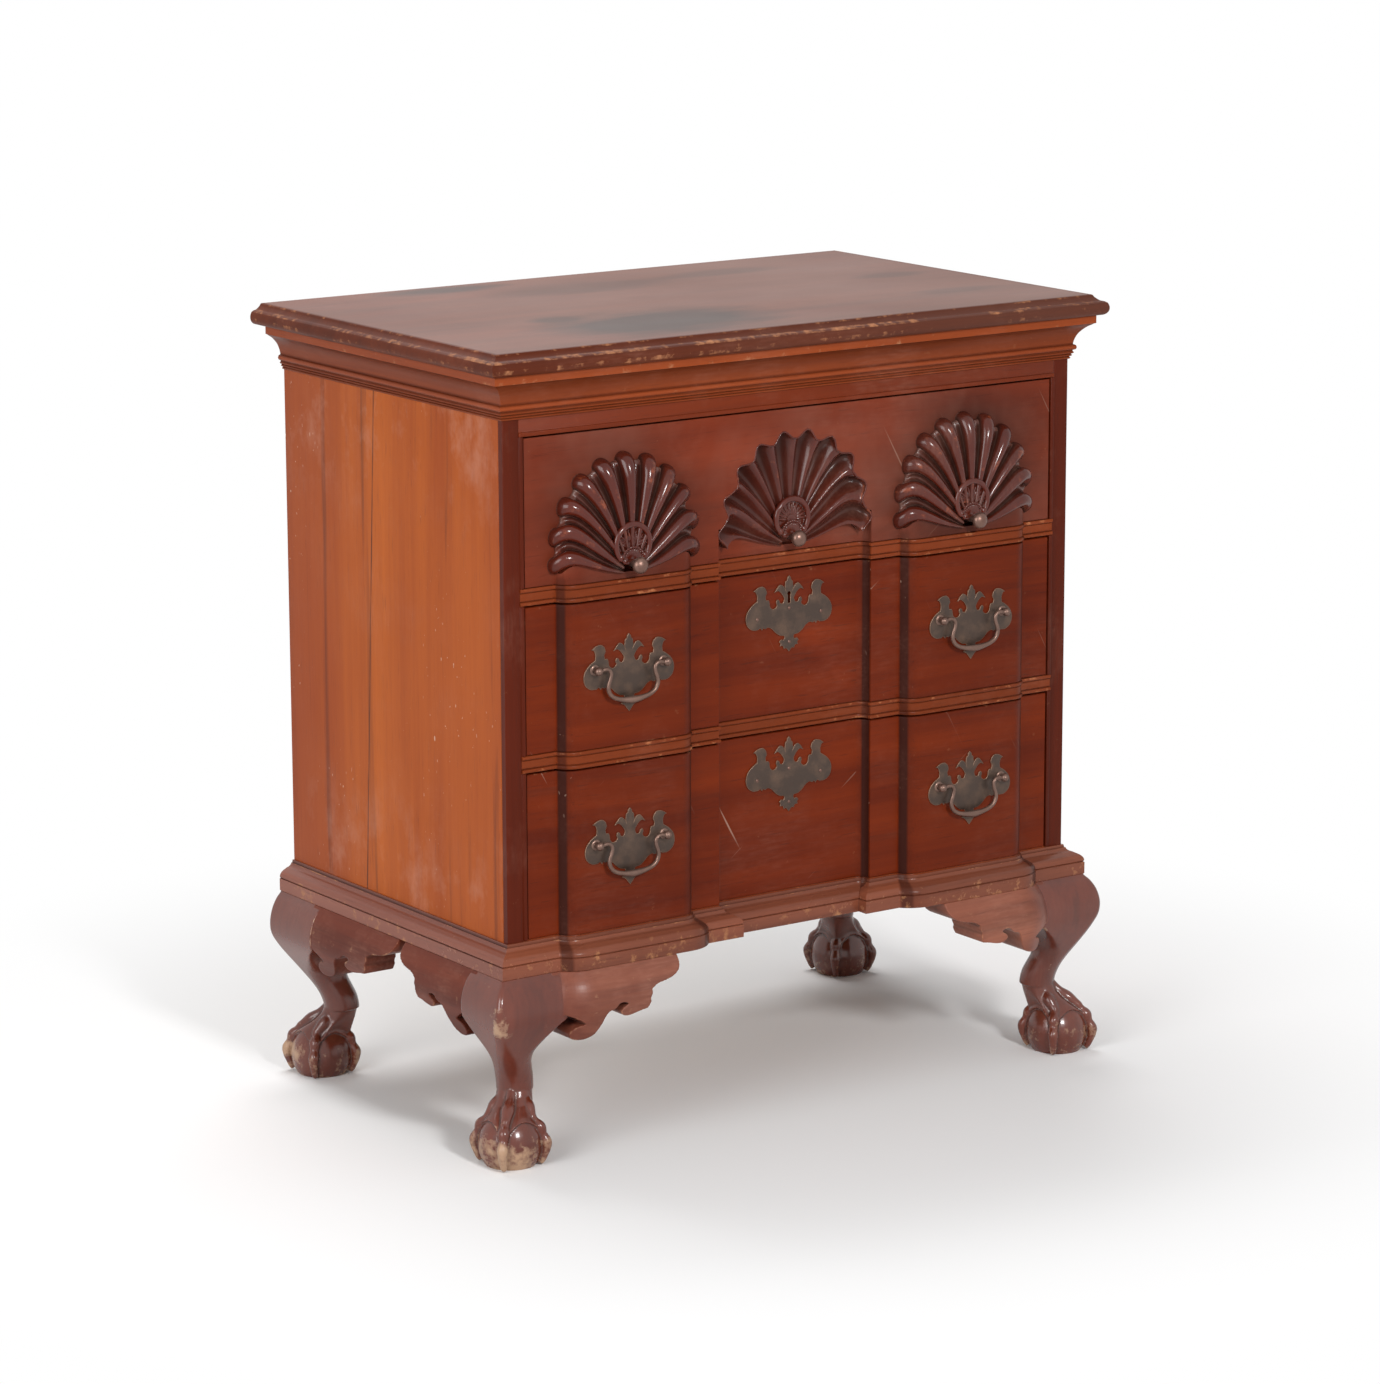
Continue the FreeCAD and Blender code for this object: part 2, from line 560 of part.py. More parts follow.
def make_brackets():
    profile = bulge_profile()
    start_x = corner_x - KNEE_WIDTH
    back = BRACKET_THICKNESS - BASE_PROJECTION
    run = blocked_run(profile, corner_x, back)
    shape = [V(start_x - t, -CASE_DEPTH, z) for t, z in bracket_outline(FRONT_BRACKET_LENGTH)]
    front = prism(shape, Y * (CASE_DEPTH + back)).common(run)
    save("bracket_front_right", front)
    save("bracket_front_left", mirrored(front))

    face = [V(half_width + g, 0, z) for g, z in profile]
    inner = corner_x - BRACKET_THICKNESS
    face += [V(inner, 0, profile[-1][1]), V(inner, 0, profile[0][1])]
    run = prism(face, Y * CASE_DEPTH)
    knee_end = KNEE_DEPTH - BASE_PROJECTION
    rear_knee = CASE_DEPTH - REAR_KNEE_DEPTH
    rear_length = rear_knee - knee_end - SIDE_BRACKET_LENGTH - BRACKET_GAP
    for name, length, start, way in (("front", SIDE_BRACKET_LENGTH, knee_end, 1), ("rear", rear_length, rear_knee, -1)):
        shape = [V(0, start + way * t, z) for t, z in bracket_outline(length)]
        bracket = prism(shape, X * CASE_WIDTH).common(run)
        save("bracket_side_%s_right" % name, bracket)
        save("bracket_side_%s_left" % name, mirrored(bracket))

    size, z0 = GLUE_BLOCK, LEG_HEIGHT - GLUE_BLOCK
    x1 = start_x - GLUE_BLOCK_OFFSET
    blocks = [box(x1 - GLUE_BLOCK_LENGTH, x1, back, back + size, z0, LEG_HEIGHT)]
    for y0 in (knee_end + GLUE_BLOCK_OFFSET, rear_knee - GLUE_BLOCK_OFFSET - GLUE_BLOCK_LENGTH):
        blocks.append(box(inner - size, inner, y0, y0 + GLUE_BLOCK_LENGTH, z0, LEG_HEIGHT))
    save("glue_blocks", *(blocks + [mirrored(b) for b in blocks]))


# ---------------------------------------------------------------- carved shells
def shell_outline(radius):
    """Scalloped fan outline as (x, z, relief) about the rosette centre; relief is 1 on a lobe and -1 between two."""
    step, half = SHELL_LOBE_STEP, SHELL_LOBE_HALF
    neck = radius - SHELL_SCALLOP
    points = []

    def add(degrees, reach, relief):
        turn = math.radians(degrees)
        points.append((reach * math.cos(turn), reach * math.sin(turn), relief))

    for k in range(SHELL_LOBES):
        lobe = 90 + (k - lobe_half_span) * step
        for share in (-1, -0.45, 0.45, 1):
            bump = math.cos(math.pi / 2 * share)
            add(lobe + share * half, neck + SHELL_SCALLOP * bump, bump)
        if k < SHELL_LOBES - 1:
            add(lobe + step / 2, neck, -1)
    low = -SHELL_SKIRT
    end_x, end_z, _ = points[0]
    skirt = arc_points((0, low), (0.3 * radius, low - 1), (0.6 * radius, 0.6 * low), 2)
    skirt += arc_points((0.6 * radius, 0.6 * low), (0.8 * radius, 0.55 * low), (end_x, end_z), 2)[1:-1]
    return points + [(-x, z, 0) for x, z in reversed(skirt[1:])] + [(x, z, 0) for x, z in skirt]


def shell_prism(center_x, radius, y0, y1):
    points = [V(center_x + x, y0, rosette_z + z) for x, z, _ in shell_outline(radius)]
    return prism(points, Y * (y1 - y0))


def shell_face(share, relief, raised):
    """Depth of the carved face at a share of the radius; lobes stand out of a raised shell and sink into a sunk one."""
    dome = math.sqrt(1 - share ** 4)
    carving = math.sqrt(1 - share ** 8) * math.sqrt(share)
    if raised:
        lift = SHELL_LOBE_RISE if relief > 0 else SHELL_FLUTE_DEPTH
        return -SHELL_RIM - SHELL_PLATE * dome - lift * relief * carving
    lift = SHELL_FLUTE_DEPTH if relief > 0 else SHELL_SUNK_RISE
    return (SHELL_SINK - SHELL_FLUTE_DEPTH - 1) * dome + lift * relief * carving


def make_shell(center_x, radius, raised):
    """Carved fan with a ringed rosette: rounded lobes if it is raised, hollow ones if it is sunk."""
    outline = shell_outline(radius)

    def ring(share, depth):
        return [V(center_x + share * x, depth(relief), rosette_z + share * z) for x, z, relief in outline]

    center_y = shell_face(0, 0, raised)
    rings = [ring(1, lambda relief: 0 if raised else SHELL_SINK)]
    for share in (1, 0.9, 0.6):
        rings.append(ring(share, lambda relief: shell_face(share, relief, raised)))
    rings.append(ring(0.6 * ROSETTE_RADIUS / radius, lambda relief: center_y))
    shell = ring_solid(rings)
    edge, proud = ROSETTE_RADIUS, ROSETTE_PROUD
    rosette = turned([(edge, -2), (edge, proud - 2), (edge - 3, proud), (edge - 6, proud - 3), (0.3 * edge, proud - 1)],
                     V(center_x, center_y, rosette_z), -Y, X)
    seat = turned([(KNOB_STEM / 2 + FIT, -SHELL_SINK), (KNOB_STEM / 2 + FIT, 4 * SHELL_PLATE)],
                  V(center_x, 0, rosette_z - KNOB_DROP), -Y, X, STEM_FACETS)
    return shell.fuse(rosette).removeSplitter().cut(seat)


def make_knob(center_x, root, face):
    """Turned knob: a stem from `root` through the face, and a flattened ball in front of the face."""
    head, stem, reach = KNOB_DIAMETER / 2, KNOB_STEM / 2, root - face + KNOB_PROJECTION
    profile = [(stem, 0), (stem, reach - 14), (0.75 * head, reach - 13), (head, reach - 8), (0.93 * head, reach - 4),
               (0.6 * head, reach - 1), (0.25 * head, reach)]
    return turned(profile, V(center_x, root, rosette_z - KNOB_DROP), -Y, X, STEM_FACETS)


# ---------------------------------------------------------------- drawers
def dovetails(y_root, y_tip, z0, z1):
    """Tails of a drawer side as one compound, narrow at the root and wide at the tip."""
    pitch = (z1 - z0) / DOVETAIL_COUNT
    tails = []
    for k in range(DOVETAIL_COUNT):
        middle = z0 + pitch * (k + 0.5)
        root = 0.3 * pitch - DOVETAIL_SLOPE / 2
        tip = root + DOVETAIL_SLOPE
        shape = [V(drawer_x - DRAWER_SIDE, y_root, middle - root), V(drawer_x - DRAWER_SIDE, y_tip, middle - tip),
                 V(drawer_x - DRAWER_SIDE, y_tip, middle + tip), V(drawer_x - DRAWER_SIDE, y_root, middle + root)]
        tails.append(prism(shape, X * DRAWER_SIDE))
    return tails


def make_drawer(name, z0, z1, front, face_back):
    """Five boards of a drawer; `front` is the shaped front board, `face_back` its flat inner face."""
    low = z0 + DRAWER_RUN_GAP
    high = z1 - DRAWER_TOP_GAP
    side_top = high - DRAWER_SIDE_DROP
    bottom_z = low + DRAWER_BOTTOM_RAISE
    inner = drawer_x - DRAWER_SIDE
    back_y = drawer_end - DRAWER_BACK
    side = box(inner, drawer_x, face_back, back_y, low, side_top)
    tails = dovetails(face_back, face_back - DOVETAIL_LAP, low, side_top)
    tails += dovetails(back_y, drawer_end, bottom_z + DRAWER_BOTTOM, side_top - DRAWER_BACK_DROP + DRAWER_SIDE_DROP)
    side = side.fuse(tails)
    bottom = box(-inner - DRAWER_GROOVE, inner + DRAWER_GROOVE, face_back - DRAWER_GROOVE, drawer_end,
                 bottom_z, bottom_z + DRAWER_BOTTOM)
    side = side.cut(bottom)
    other = mirrored(side)
    back = box(-drawer_x, drawer_x, back_y, drawer_end, bottom_z + DRAWER_BOTTOM,
               side_top - DRAWER_BACK_DROP + DRAWER_SIDE_DROP)
    save(name + "_front", front.cut([side, other, bottom]))
    save(name + "_sides", side, other)
    save(name + "_back", back.cut([side, other]))
    save(name + "_bottom", bottom)


def keyhole(y0, y1, z):
    return box(-KEYHOLE_WIDTH / 2, KEYHOLE_WIDTH / 2, y0, y1, z - KEYHOLE_HEIGHT / 2, z + KEYHOLE_HEIGHT / 2)


def bolt_box(grow, rise):
    """Space of the lock bolt: its own solid, grown by `grow` and raised by `rise`."""
    y0 = front_back + (LOCK_DEPTH - BOLT_DEPTH) / 2
    top = z_upper_rail - DRAWER_TOP_GAP
    return box(-BOLT_WIDTH / 2 - grow, BOLT_WIDTH / 2 + grow, y0 - grow, y0 + BOLT_DEPTH + grow,
               top - BOLT_LENGTH - grow, top + rise + grow)


def make_drawers():
    radius_sunk = RECESS_WIDTH / 2
    low, high = z_upper + DRAWER_RUN_GAP, z_top_rail - DRAWER_TOP_GAP
    deep_back = front_back + SHELL_FRONT_EXTRA
    front = blocked_slab(0, drawer_x, deep_back, low, rosette_z)
    front = front.fuse(box(-drawer_x, drawer_x, 0, deep_back, rosette_z, high)).removeSplitter()
    cuts = [shell_prism(side * BLOCK_CENTER, SHELL_RADIUS, -2 * BLOCK_PROUD, 0) for side in (-1, 1)]
    front = front.cut(cuts + [shell_prism(0, radius_sunk, -1, SHELL_SINK)]).removeSplitter()
    make_drawer("upper_drawer", z_upper, z_top_rail, front, deep_back)
    save("shell_left", make_shell(-BLOCK_CENTER, SHELL_RADIUS, True))
    save("shell_right", make_shell(BLOCK_CENTER, SHELL_RADIUS, True))
    save("shell_center", make_shell(0, radius_sunk, False))
    knobs = [make_knob(side * BLOCK_CENTER, 0, -BLOCK_PROUD) for side in (-1, 1)]
    save("shell_knobs", *knobs, make_knob(0, SHELL_SINK, RECESS_DEPTH))

    low, high = z_middle + DRAWER_RUN_GAP, z_upper_rail - DRAWER_TOP_GAP
    front = blocked_slab(0, drawer_x, front_back, low, high)
    front = front.cut(keyhole(0, front_back, z_upper_rail - ESCUTCHEON_DROP + KEYHOLE_RISE))
    make_drawer("middle_drawer", z_middle, z_upper_rail, front, front_back)

    low, high = z_sill + DRAWER_RUN_GAP, z_lower_rail - DRAWER_TOP_GAP
    front = blocked_slab(0, drawer_x, front_back, low, high)
    make_drawer("lower_drawer", z_sill, z_lower_rail, front, front_back)


def make_lock():
    top = z_upper_rail - DRAWER_TOP_GAP
    case = box(-LOCK_WIDTH / 2, LOCK_WIDTH / 2, front_back, front_back + LOCK_DEPTH, top - LOCK_HEIGHT, top)
    case = case.cut(bolt_box(BOLT_CLEARANCE, 1))
    case = case.cut(keyhole(front_back, front_back + LOCK_DEPTH / 2, z_upper_rail - ESCUTCHEON_DROP + KEYHOLE_RISE))
    save("lock_case", case)
    save("lock_bolt", bolt_box(0, 0))


# ---------------------------------------------------------------- pulls and escutcheons
def plate_outline():
    """Right half of the bat-wing plate as (x, z) about the plate line, from the finial round to the foot."""
    k = PLATE_HALF_WIDTH / DRAWN_PLATE_HALF_WIDTH
    half = [(0, 41), (3.5, 37), (5, 28), (9, 31.5), (14, 31), (19, 24), (8, 20), (7, 14), (10, 11.5), (13.5, 18)]
    half += [(16, 16), (16, 10), (20, 7.5), (24.5, 12), (26.5, 17), (29, 18.5), (29, 27), (32, 31), (39, 32)]
    half += [(45.5, 28.5), (41, 25)]
    half += arc_points((41, 17.5), (55.5, 1), (43, -12.5), 4)
    half += [(34, -13), (26, -12)]
    half += arc_points((21, -14), (14, -20), (6.5, -22.5), 2)
    half += [(7, -26.5), (12, -29), (10, -34), (5, -36), (0, -40)]
    return [(x * k, z * k) for x, z in half]


def make_plate(center_x, face, line_z):
    half = plate_outline()
    outline = half + [(-x, z) for x, z in reversed(half[1:-1])]
    return prism([V(center_x + x, face - PLATE_THICKNESS, line_z + z) for x, z in outline], Y * PLATE_THICKNESS)


def make_post(center_x, face, pivot_z):
    """Post with a ball head, cross-drilled for the end of the bail."""
    neck, head, reach = POST_RADIUS, POST_HEAD, PIVOT_STANDOFF
    profile = [(neck, 0), (neck, reach - head), (head, reach - 2), (head, reach + 2), (0.5 * head, reach + head)]
    post = turned(profile, V(center_x, face, pivot_z), -Y, X, POST_FACETS)
    bore = (BAIL_RADIUS + FIT) / math.cos(math.pi / BAIL_FACETS)
    hole = turned([(bore, -2 * head), (bore, 2 * head)], V(center_x, face - reach, pivot_z), X, Y, BAIL_FACETS)
    return post.cut(hole)


def make_bail(center_x, face, pivot_z):
    """Swan-necked bail: one bent bar whose ends turn outwards through the posts."""
    end = POST_SPACING / 2 + POST_HEAD - 1
    half = [(end, 0), (0.82 * POST_SPACING / 2, 0)]
    half += arc_points((BAIL_NECK + 5, 0), (BAIL_NECK + 1, -2), (BAIL_NECK, -7), 2)
    half += arc_points((BAIL_BELLY, -0.54 * BAIL_DROP), (BAIL_BELLY - 4, -0.85 * BAIL_DROP), (17, -BAIL_DROP), 4)
    path = half + [(0, -BAIL_DROP)] + [(-x, z) for x, z in reversed(half)]
    rings = []
    for i, (x, z) in enumerate(path):
        x0, z0 = path[max(i - 1, 0)]
        x1, z1 = path[min(i + 1, len(path) - 1)]
        way = V(x1 - x0, 0, z1 - z0).normalize()
        across = way.cross(Y)
        swell = max(0.0, 1 - abs(x) / BAIL_NECK) if z < -0.9 * BAIL_DROP else 0.0
        radius = BAIL_RADIUS + (BAIL_SWELL - BAIL_RADIUS) * swell
        middle = V(center_x + x, face - PIVOT_STANDOFF, pivot_z + z)
        turns = [2 * math.pi * j / BAIL_FACETS for j in range(BAIL_FACETS)]
        rings.append([middle + across * (radius * math.cos(t)) + Y * (radius * math.sin(t)) for t in turns])
    return ring_solid(rings)


def make_hardware():
    face = -BLOCK_PROUD
    for drawer, (z0, z1) in (("middle", openings[1]), ("lower", openings[2])):
        line = (z0 + z1) / 2 - PULL_DROP
        pivot = line + POST_RISE
        plates, posts = [], []
        for side, place in ((-1, "left"), (1, "right")):
            center = side * PULL_CENTER
            plate = make_plate(center, face, line)
            for post_x in (center - POST_SPACING / 2, center + POST_SPACING / 2):
                post = make_post(post_x, face, pivot)
                plate = plate.cut(post)
                posts.append(post)
            plates.append(plate)
            save("bail_%s_%s" % (drawer, place), make_bail(center, face, pivot))
        save("pull_plates_" + drawer, *plates)
        save("pull_posts_" + drawer, *posts)
        line = z1 - ESCUTCHEON_DROP
        plate = make_plate(0, RECESS_DEPTH, line)
        if drawer == "middle":
            plate = plate.cut(keyhole(0, RECESS_DEPTH, line + KEYHOLE_RISE))
        save("escutcheon_" + drawer, plate)


def main():
    os.makedirs("parts", exist_ok=True)
    make_case()
    make_moldings()
    make_legs()
    make_brackets()
    make_drawers()
    make_lock()
    make_hardware()


main()
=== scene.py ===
import math

import bmesh
import bpy
import numpy as np
from mathutils import Matrix, Vector
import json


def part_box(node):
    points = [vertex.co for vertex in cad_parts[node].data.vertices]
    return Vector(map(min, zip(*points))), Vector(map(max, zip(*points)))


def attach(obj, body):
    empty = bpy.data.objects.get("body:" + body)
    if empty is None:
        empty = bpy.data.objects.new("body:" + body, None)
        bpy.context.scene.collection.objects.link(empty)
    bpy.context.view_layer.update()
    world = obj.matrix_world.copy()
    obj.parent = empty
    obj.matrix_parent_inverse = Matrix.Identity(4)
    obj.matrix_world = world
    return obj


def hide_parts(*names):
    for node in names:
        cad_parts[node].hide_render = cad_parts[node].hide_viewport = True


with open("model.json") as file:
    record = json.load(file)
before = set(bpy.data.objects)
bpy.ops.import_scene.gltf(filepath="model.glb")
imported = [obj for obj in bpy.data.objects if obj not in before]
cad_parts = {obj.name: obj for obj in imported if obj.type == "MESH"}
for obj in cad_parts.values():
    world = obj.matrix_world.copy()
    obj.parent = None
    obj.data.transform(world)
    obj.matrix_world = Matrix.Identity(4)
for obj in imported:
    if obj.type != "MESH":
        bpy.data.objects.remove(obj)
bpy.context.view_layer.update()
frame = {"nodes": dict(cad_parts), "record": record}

# ---------------------------------------------------------------- sizes, in millimetres
# Points are (x, y, z): x from the middle of the case, y from the flat plane of its front, z from the floor.
MM = 0.001
SIDES = ((-1, "left"), (1, "right"))


def low(node, axis):
    """Lowest coordinate of a node along "x", "y" or "z"."""
    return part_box(node)[0]["xyz".index(axis)] / MM


def high(node, axis):
    """Highest coordinate of a node along "x", "y" or "z"."""
    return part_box(node)[1]["xyz".index(axis)] / MM


BEAD_PROUD = 1.6
front_plane = low("top_rail", "y") + BEAD_PROUD
HALF_CASE = high("side_panel_right", "x")
INNER_SIDE = low("side_panel_right", "x")
CASE_DEPTH = high("back_boards", "y") - front_plane
LEG_HEIGHT = low("base_molding_front", "z")
BASE_TOP = high("base_molding_front", "z")
CASE_TOP = low("top_board", "z")
TOP_HEIGHT = high("top_board", "z")
DRAWER_HALF = high("middle_drawer_front", "x")

BLOCK_CENTER = 217.0
BLOCK_WIDTH = 165.0
BLOCK_PROUD = 14.0
BLOCK_ROUND = 20.0
RECESS_HALF = 98.0
RECESS_DEPTH = 13.0
RECESS_ROUND = 12.0
COVE_LEAST = 0.5

BASE_PROJECTION = 18.4
CORNICE_PROJECTION = 21.3
TOP_NOSE = 30.8
RAIL_DEPTH = 70.0
BEAD = 4.5
SIDE_WALL = 10.0
TAIL_COUNT = 3
TAIL_LENGTH = 12.0
TAIL_SLOPE = 3.0
BOLT_THROW = 6.0
BOLT_CLEARANCE = 0.4

ROSETTE_Z = low("shell_left", "z") + 28.5
ROSETTE_RADIUS = 23.0
PINCH_DROP = 32.0
SHELL_RADIUS = 92.0
LOBES = 11
LOBE_STEP = 19.4
LOBE_HALF = 6.3
TIP_REACH = 8.0
VALLEY_DIP = 1.5
SUNK_RADIUS = 93.0
SUNK_SPREAD = 5.0
HOLLOWS = 10
HOLLOW_STEP = 20.2
HOLLOW_REACH = 9.5

KNEE_BULGE = 14.5
KNOB_Z = ROSETTE_Z - 21.0
POST_SPACING = 84.0
PULL_CENTER = 220.0
PIVOT_STANDOFF = 8.5
PIVOT_RISE = 7.5
PLATE_THICK = 1.5
NAIL_PLACES = ((-41, -1.5), (41, -1.5), (0, 6.5), (0, -29.5))
PLATE_DROP = 40.0  # from the line of a plate to its lowest point
KEYHOLE_Z = low("escutcheon_middle", "z") + PLATE_DROP + 18.0


# ---------------------------------------------------------------- meshes
slot_of = {row["node"]: row["material_slot"] for row in frame["record"]["subparts"]}
body_of = {node: body for body, nodes in frame["record"]["behaviour"]["bodies"].items() for node in nodes}


def unit(value):
    """A number held between zero and one."""
    return max(0.0, min(1.0, value))


def full_turn(sides):
    """Angles of the corners of a regular outline."""
    return [2 * math.pi * i / sides for i in range(sides)]


def turns(start, stop, step):
    """Angles in radians, from whole degrees."""
    return [math.radians(a) for a in range(start, stop, step)]


def new_object(name, data):
    """Object of a mesh, curve, lamp or camera, in the scene."""
    obj = bpy.data.objects.new(name, data)
    bpy.context.scene.collection.objects.link(obj)
    return obj


def set_mark(mesh, name, values):
    """Keep one value per point as an attribute."""
    mesh.attributes.new(name, "FLOAT", "POINT").data.foreach_set("value", np.array(values, np.float32))


def make_mesh(name, points, faces, **marks):
    """Mesh from points in millimetres; each mark has one value per point."""
    mesh = bpy.data.meshes.new(name)
    mesh.from_pydata([(x * MM, (y + front_plane) * MM, z * MM) for x, y, z in points], [], faces)
    for mark, values in marks.items():
        set_mark(mesh, mark, values)
    mesh.update()
    return mesh


def turn_outwards(mesh):
    """Merge doubled points and turn every face outwards."""
    form = bmesh.new()
    form.from_mesh(mesh)
    bmesh.ops.remove_doubles(form, verts=form.verts, dist=1e-6)
    bmesh.ops.recalc_face_normals(form, faces=form.faces)
    form.to_mesh(mesh)
    form.free()
    mesh.update()
    return mesh


def add_piece(name, mesh, body, material, *nodes, smooth=35.0, slot=None):
    """Place a finished mesh on its body, as what stands for the named nodes."""
    piece = new_object(name, mesh)
    mesh.materials.clear()
    mesh.materials.append(material)
    mesh.polygons.foreach_set("use_smooth", [True] * len(mesh.polygons))
    mesh.set_sharp_from_angle(angle=math.radians(smooth))
    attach(piece, body)
    if nodes:
        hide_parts(*nodes)
    return piece


def join_rings(rings, closed=True, caps=True):
    """Points and faces of the skin through rings of equally many points."""
    count = len(rings[0])
    points = [p for ring in rings for p in ring]
    faces = []
    for k in range(len(rings) - 1):
        for i in range(count if closed else count - 1):
            j = (i + 1) % count
            faces.append((k * count + i, k * count + j, (k + 1) * count + j, (k + 1) * count + i))
    if caps:
        faces.append(tuple(reversed(range(count))))
        faces.append(tuple(range((len(rings) - 1) * count, len(rings) * count)))
    return points, faces


def evaluated_mesh(obj):
    """Plain mesh of an object with its modifiers, which are then gone with the object."""
    graph = bpy.context.evaluated_depsgraph_get()
    mesh = bpy.data.meshes.new_from_object(obj.evaluated_get(graph), depsgraph=graph)
    old = obj.data
    bpy.data.objects.remove(obj)
    if old.users == 0 and isinstance(old, bpy.types.Mesh):
        bpy.data.meshes.remove(old)
    return mesh


def scratch_object(mesh):
    """Object for a step of work, gone after it."""
    return new_object("scratch", mesh)


def combine(mesh, other, operation="DIFFERENCE"):
    """Boolean of two meshes."""
    base, tool = scratch_object(mesh), scratch_object(other)
    step = base.modifiers.new("cut", "BOOLEAN")
    step.operation, step.solver, step.object = operation, "EXACT", tool
    result = evaluated_mesh(base)
    bpy.data.objects.remove(tool)
    return result


def carve_soft(mesh, grain, passes):
    """Even, softened skin of a mesh: remeshed at `grain` millimetres and smoothed."""
    obj = scratch_object(mesh)
    step = obj.modifiers.new("remesh", "REMESH")
    step.mode, step.voxel_size = "VOXEL", grain * MM
    step = obj.modifiers.new("soften", "SMOOTH")
    step.iterations, step.factor = passes, 0.5
    return evaluated_mesh(obj)


def read_points(mesh, what):
    """Array of `co` or `normal`, one row per point."""
    values = np.empty(len(mesh.vertices) * 3)
    mesh.vertices.foreach_get(what, values)
    return values.reshape(-1, 3)


def mark_curvature(mesh, reach, spread=2):
    """Marks `edge` and `hollow` of a dense mesh: how far a point stands out of or into its surface."""
    count = len(mesh.vertices)
    co = read_points(mesh, "co") / MM
    normal = read_points(mesh, "normal")
    pairs = np.empty(len(mesh.edges) * 2, int)
    mesh.edges.foreach_get("vertices", pairs)
    a, b = pairs.reshape(-1, 2).T
    degree = np.maximum(np.bincount(np.concatenate([a, b]), minlength=count), 1)

    def around(values):
        total = np.zeros_like(values)
        np.add.at(total, a, values[b])
        np.add.at(total, b, values[a])
        return total / (degree[:, None] if values.ndim == 2 else degree)

    mean = co.copy()
    for _ in range(spread):
        mean = around(mean)
    out = np.einsum("ij,ij->i", co - mean, normal) / reach
    for _ in range(spread):
        out = 0.5 * out + 0.5 * around(out)
    for name, values in (("edge", out), ("hollow", -out)):
        set_mark(mesh, name, np.clip(values, 0, 1))
    return mesh


def bend(points, steps=6):
    """Smooth line through points (Catmull-Rom), with `steps` parts between two of them."""
    pts = [np.array(p, float) for p in points]
    pts = [2 * pts[0] - pts[1]] + pts + [2 * pts[-1] - pts[-2]]
    line = []
    for p0, p1, p2, p3 in zip(pts, pts[1:], pts[2:], pts[3:]):
        for k in range(steps):
            t = k / steps
            line.append(0.5 * (2 * p1 + (p2 - p0) * t + (2 * p0 - 5 * p1 + 4 * p2 - p3) * t ** 2
                               + (3 * p1 - p0 - 3 * p2 + p3) * t ** 3))
    return [tuple(p) for p in line] + [tuple(pts[-2])]


def bend_runs(runs, steps=6):
    """Outline of smooth runs that meet in corners."""
    line = []
    for run in runs:
        line += (bend(run, steps) if len(run) > 2 else [tuple(map(float, p)) for p in run])[:-1]
    return line + [tuple(map(float, runs[-1][-1]))]


def tube(path, radii, sides=16):
    """Rings of a round bar along a path."""
    path = [np.array(p, float) for p in path]
    ring_at = []
    side = None
    for k, p in enumerate(path):
        way = path[min(k + 1, len(path) - 1)] - path[max(k - 1, 0)]
        way /= np.linalg.norm(way)
        side = np.cross(way, (0.0, 1.0, 0.0)) if side is None else side - way * side.dot(way)
        if np.linalg.norm(side) < 1e-6:
            side = np.cross(way, (1.0, 0.0, 0.0))
        side /= np.linalg.norm(side)
        up = np.cross(side, way)
        corners = [side * math.cos(t) + up * math.sin(t) for t in full_turn(sides)]
        ring_at.append([tuple(p + radii[k] * corner) for corner in corners])
    return ring_at


def lathe(profile, base, sides=32):
    """Rings of a piece turned about an axis that points to the front; profile is (radius, distance out)."""
    x, y, z = base
    return [[(x + r * math.cos(t), y - out, z + r * math.sin(t)) for t in full_turn(sides)]
            for r, out in profile]


def ball(center, radii, turn=Matrix.Identity(3), rings=16, sides=24):
    """Points and faces of a stretched ball."""
    skin = []
    for k in range(rings + 1):
        lat = math.pi * (k / rings - 0.5)
        wide = max(math.cos(lat), 0.02)
        ring = []
        for t in full_turn(sides):
            p = turn @ Vector((radii[0] * wide * math.cos(t), radii[1] * wide * math.sin(t),
                               radii[2] * math.sin(lat)))
            ring.append((center[0] + p.x, center[1] + p.y, center[2] + p.z))
        skin.append(ring)
    return join_rings(skin)


def gather(parts):
    """One list of points and faces from several."""
    points, faces = [], []
    for some_points, some_faces in parts:
        start = len(points)
        points += list(some_points)
        faces += [tuple(start + i for i in face) for face in some_faces]
    return points, faces


def mirror_mesh(mesh):
    """Copy on the other side of the case."""
    other = mesh.copy()
    other.transform(Matrix.Scale(-1, 4, (1, 0, 0)))
    other.flip_normals()
    return other


# ---------------------------------------------------------------- wood, brass and dust
ALONG_Z, ALONG_X, ALONG_Y = (0.0, 0.0, 0.0), (0.0, math.pi / 2, 0.0), (math.pi / 2, 0.0, 0.0)
DUST_COLOR = (0.3, 0.24, 0.2, 1)
SCRATCH_COLOR = (0.6, 0.42, 0.32, 1)


def node(tree, kind, inputs=None, **settings):
    """New node; an input is a value or the socket that feeds it."""
    made = tree.nodes.new(kind)
    for key, value in settings.items():
        setattr(made, key, value)
    for key, value in (inputs or {}).items():
        socket = made.inputs[key]
        if isinstance(value, bpy.types.NodeSocket):
            tree.links.new(value, socket)
        else:
            socket.default_value = value
    return made


def new_group(name, inputs, outputs):
    """Empty shader group with sockets given as label: kind."""
    group = bpy.data.node_groups.new(name, "ShaderNodeTree")
    for in_out, sockets in (("INPUT", inputs), ("OUTPUT", outputs)):
        for label, kind in sockets.items():
            group.interface.new_socket(label, in_out=in_out, socket_type="NodeSocket" + kind)
    return group, group.nodes.new("NodeGroupInput").outputs, group.nodes.new("NodeGroupOutput").inputs


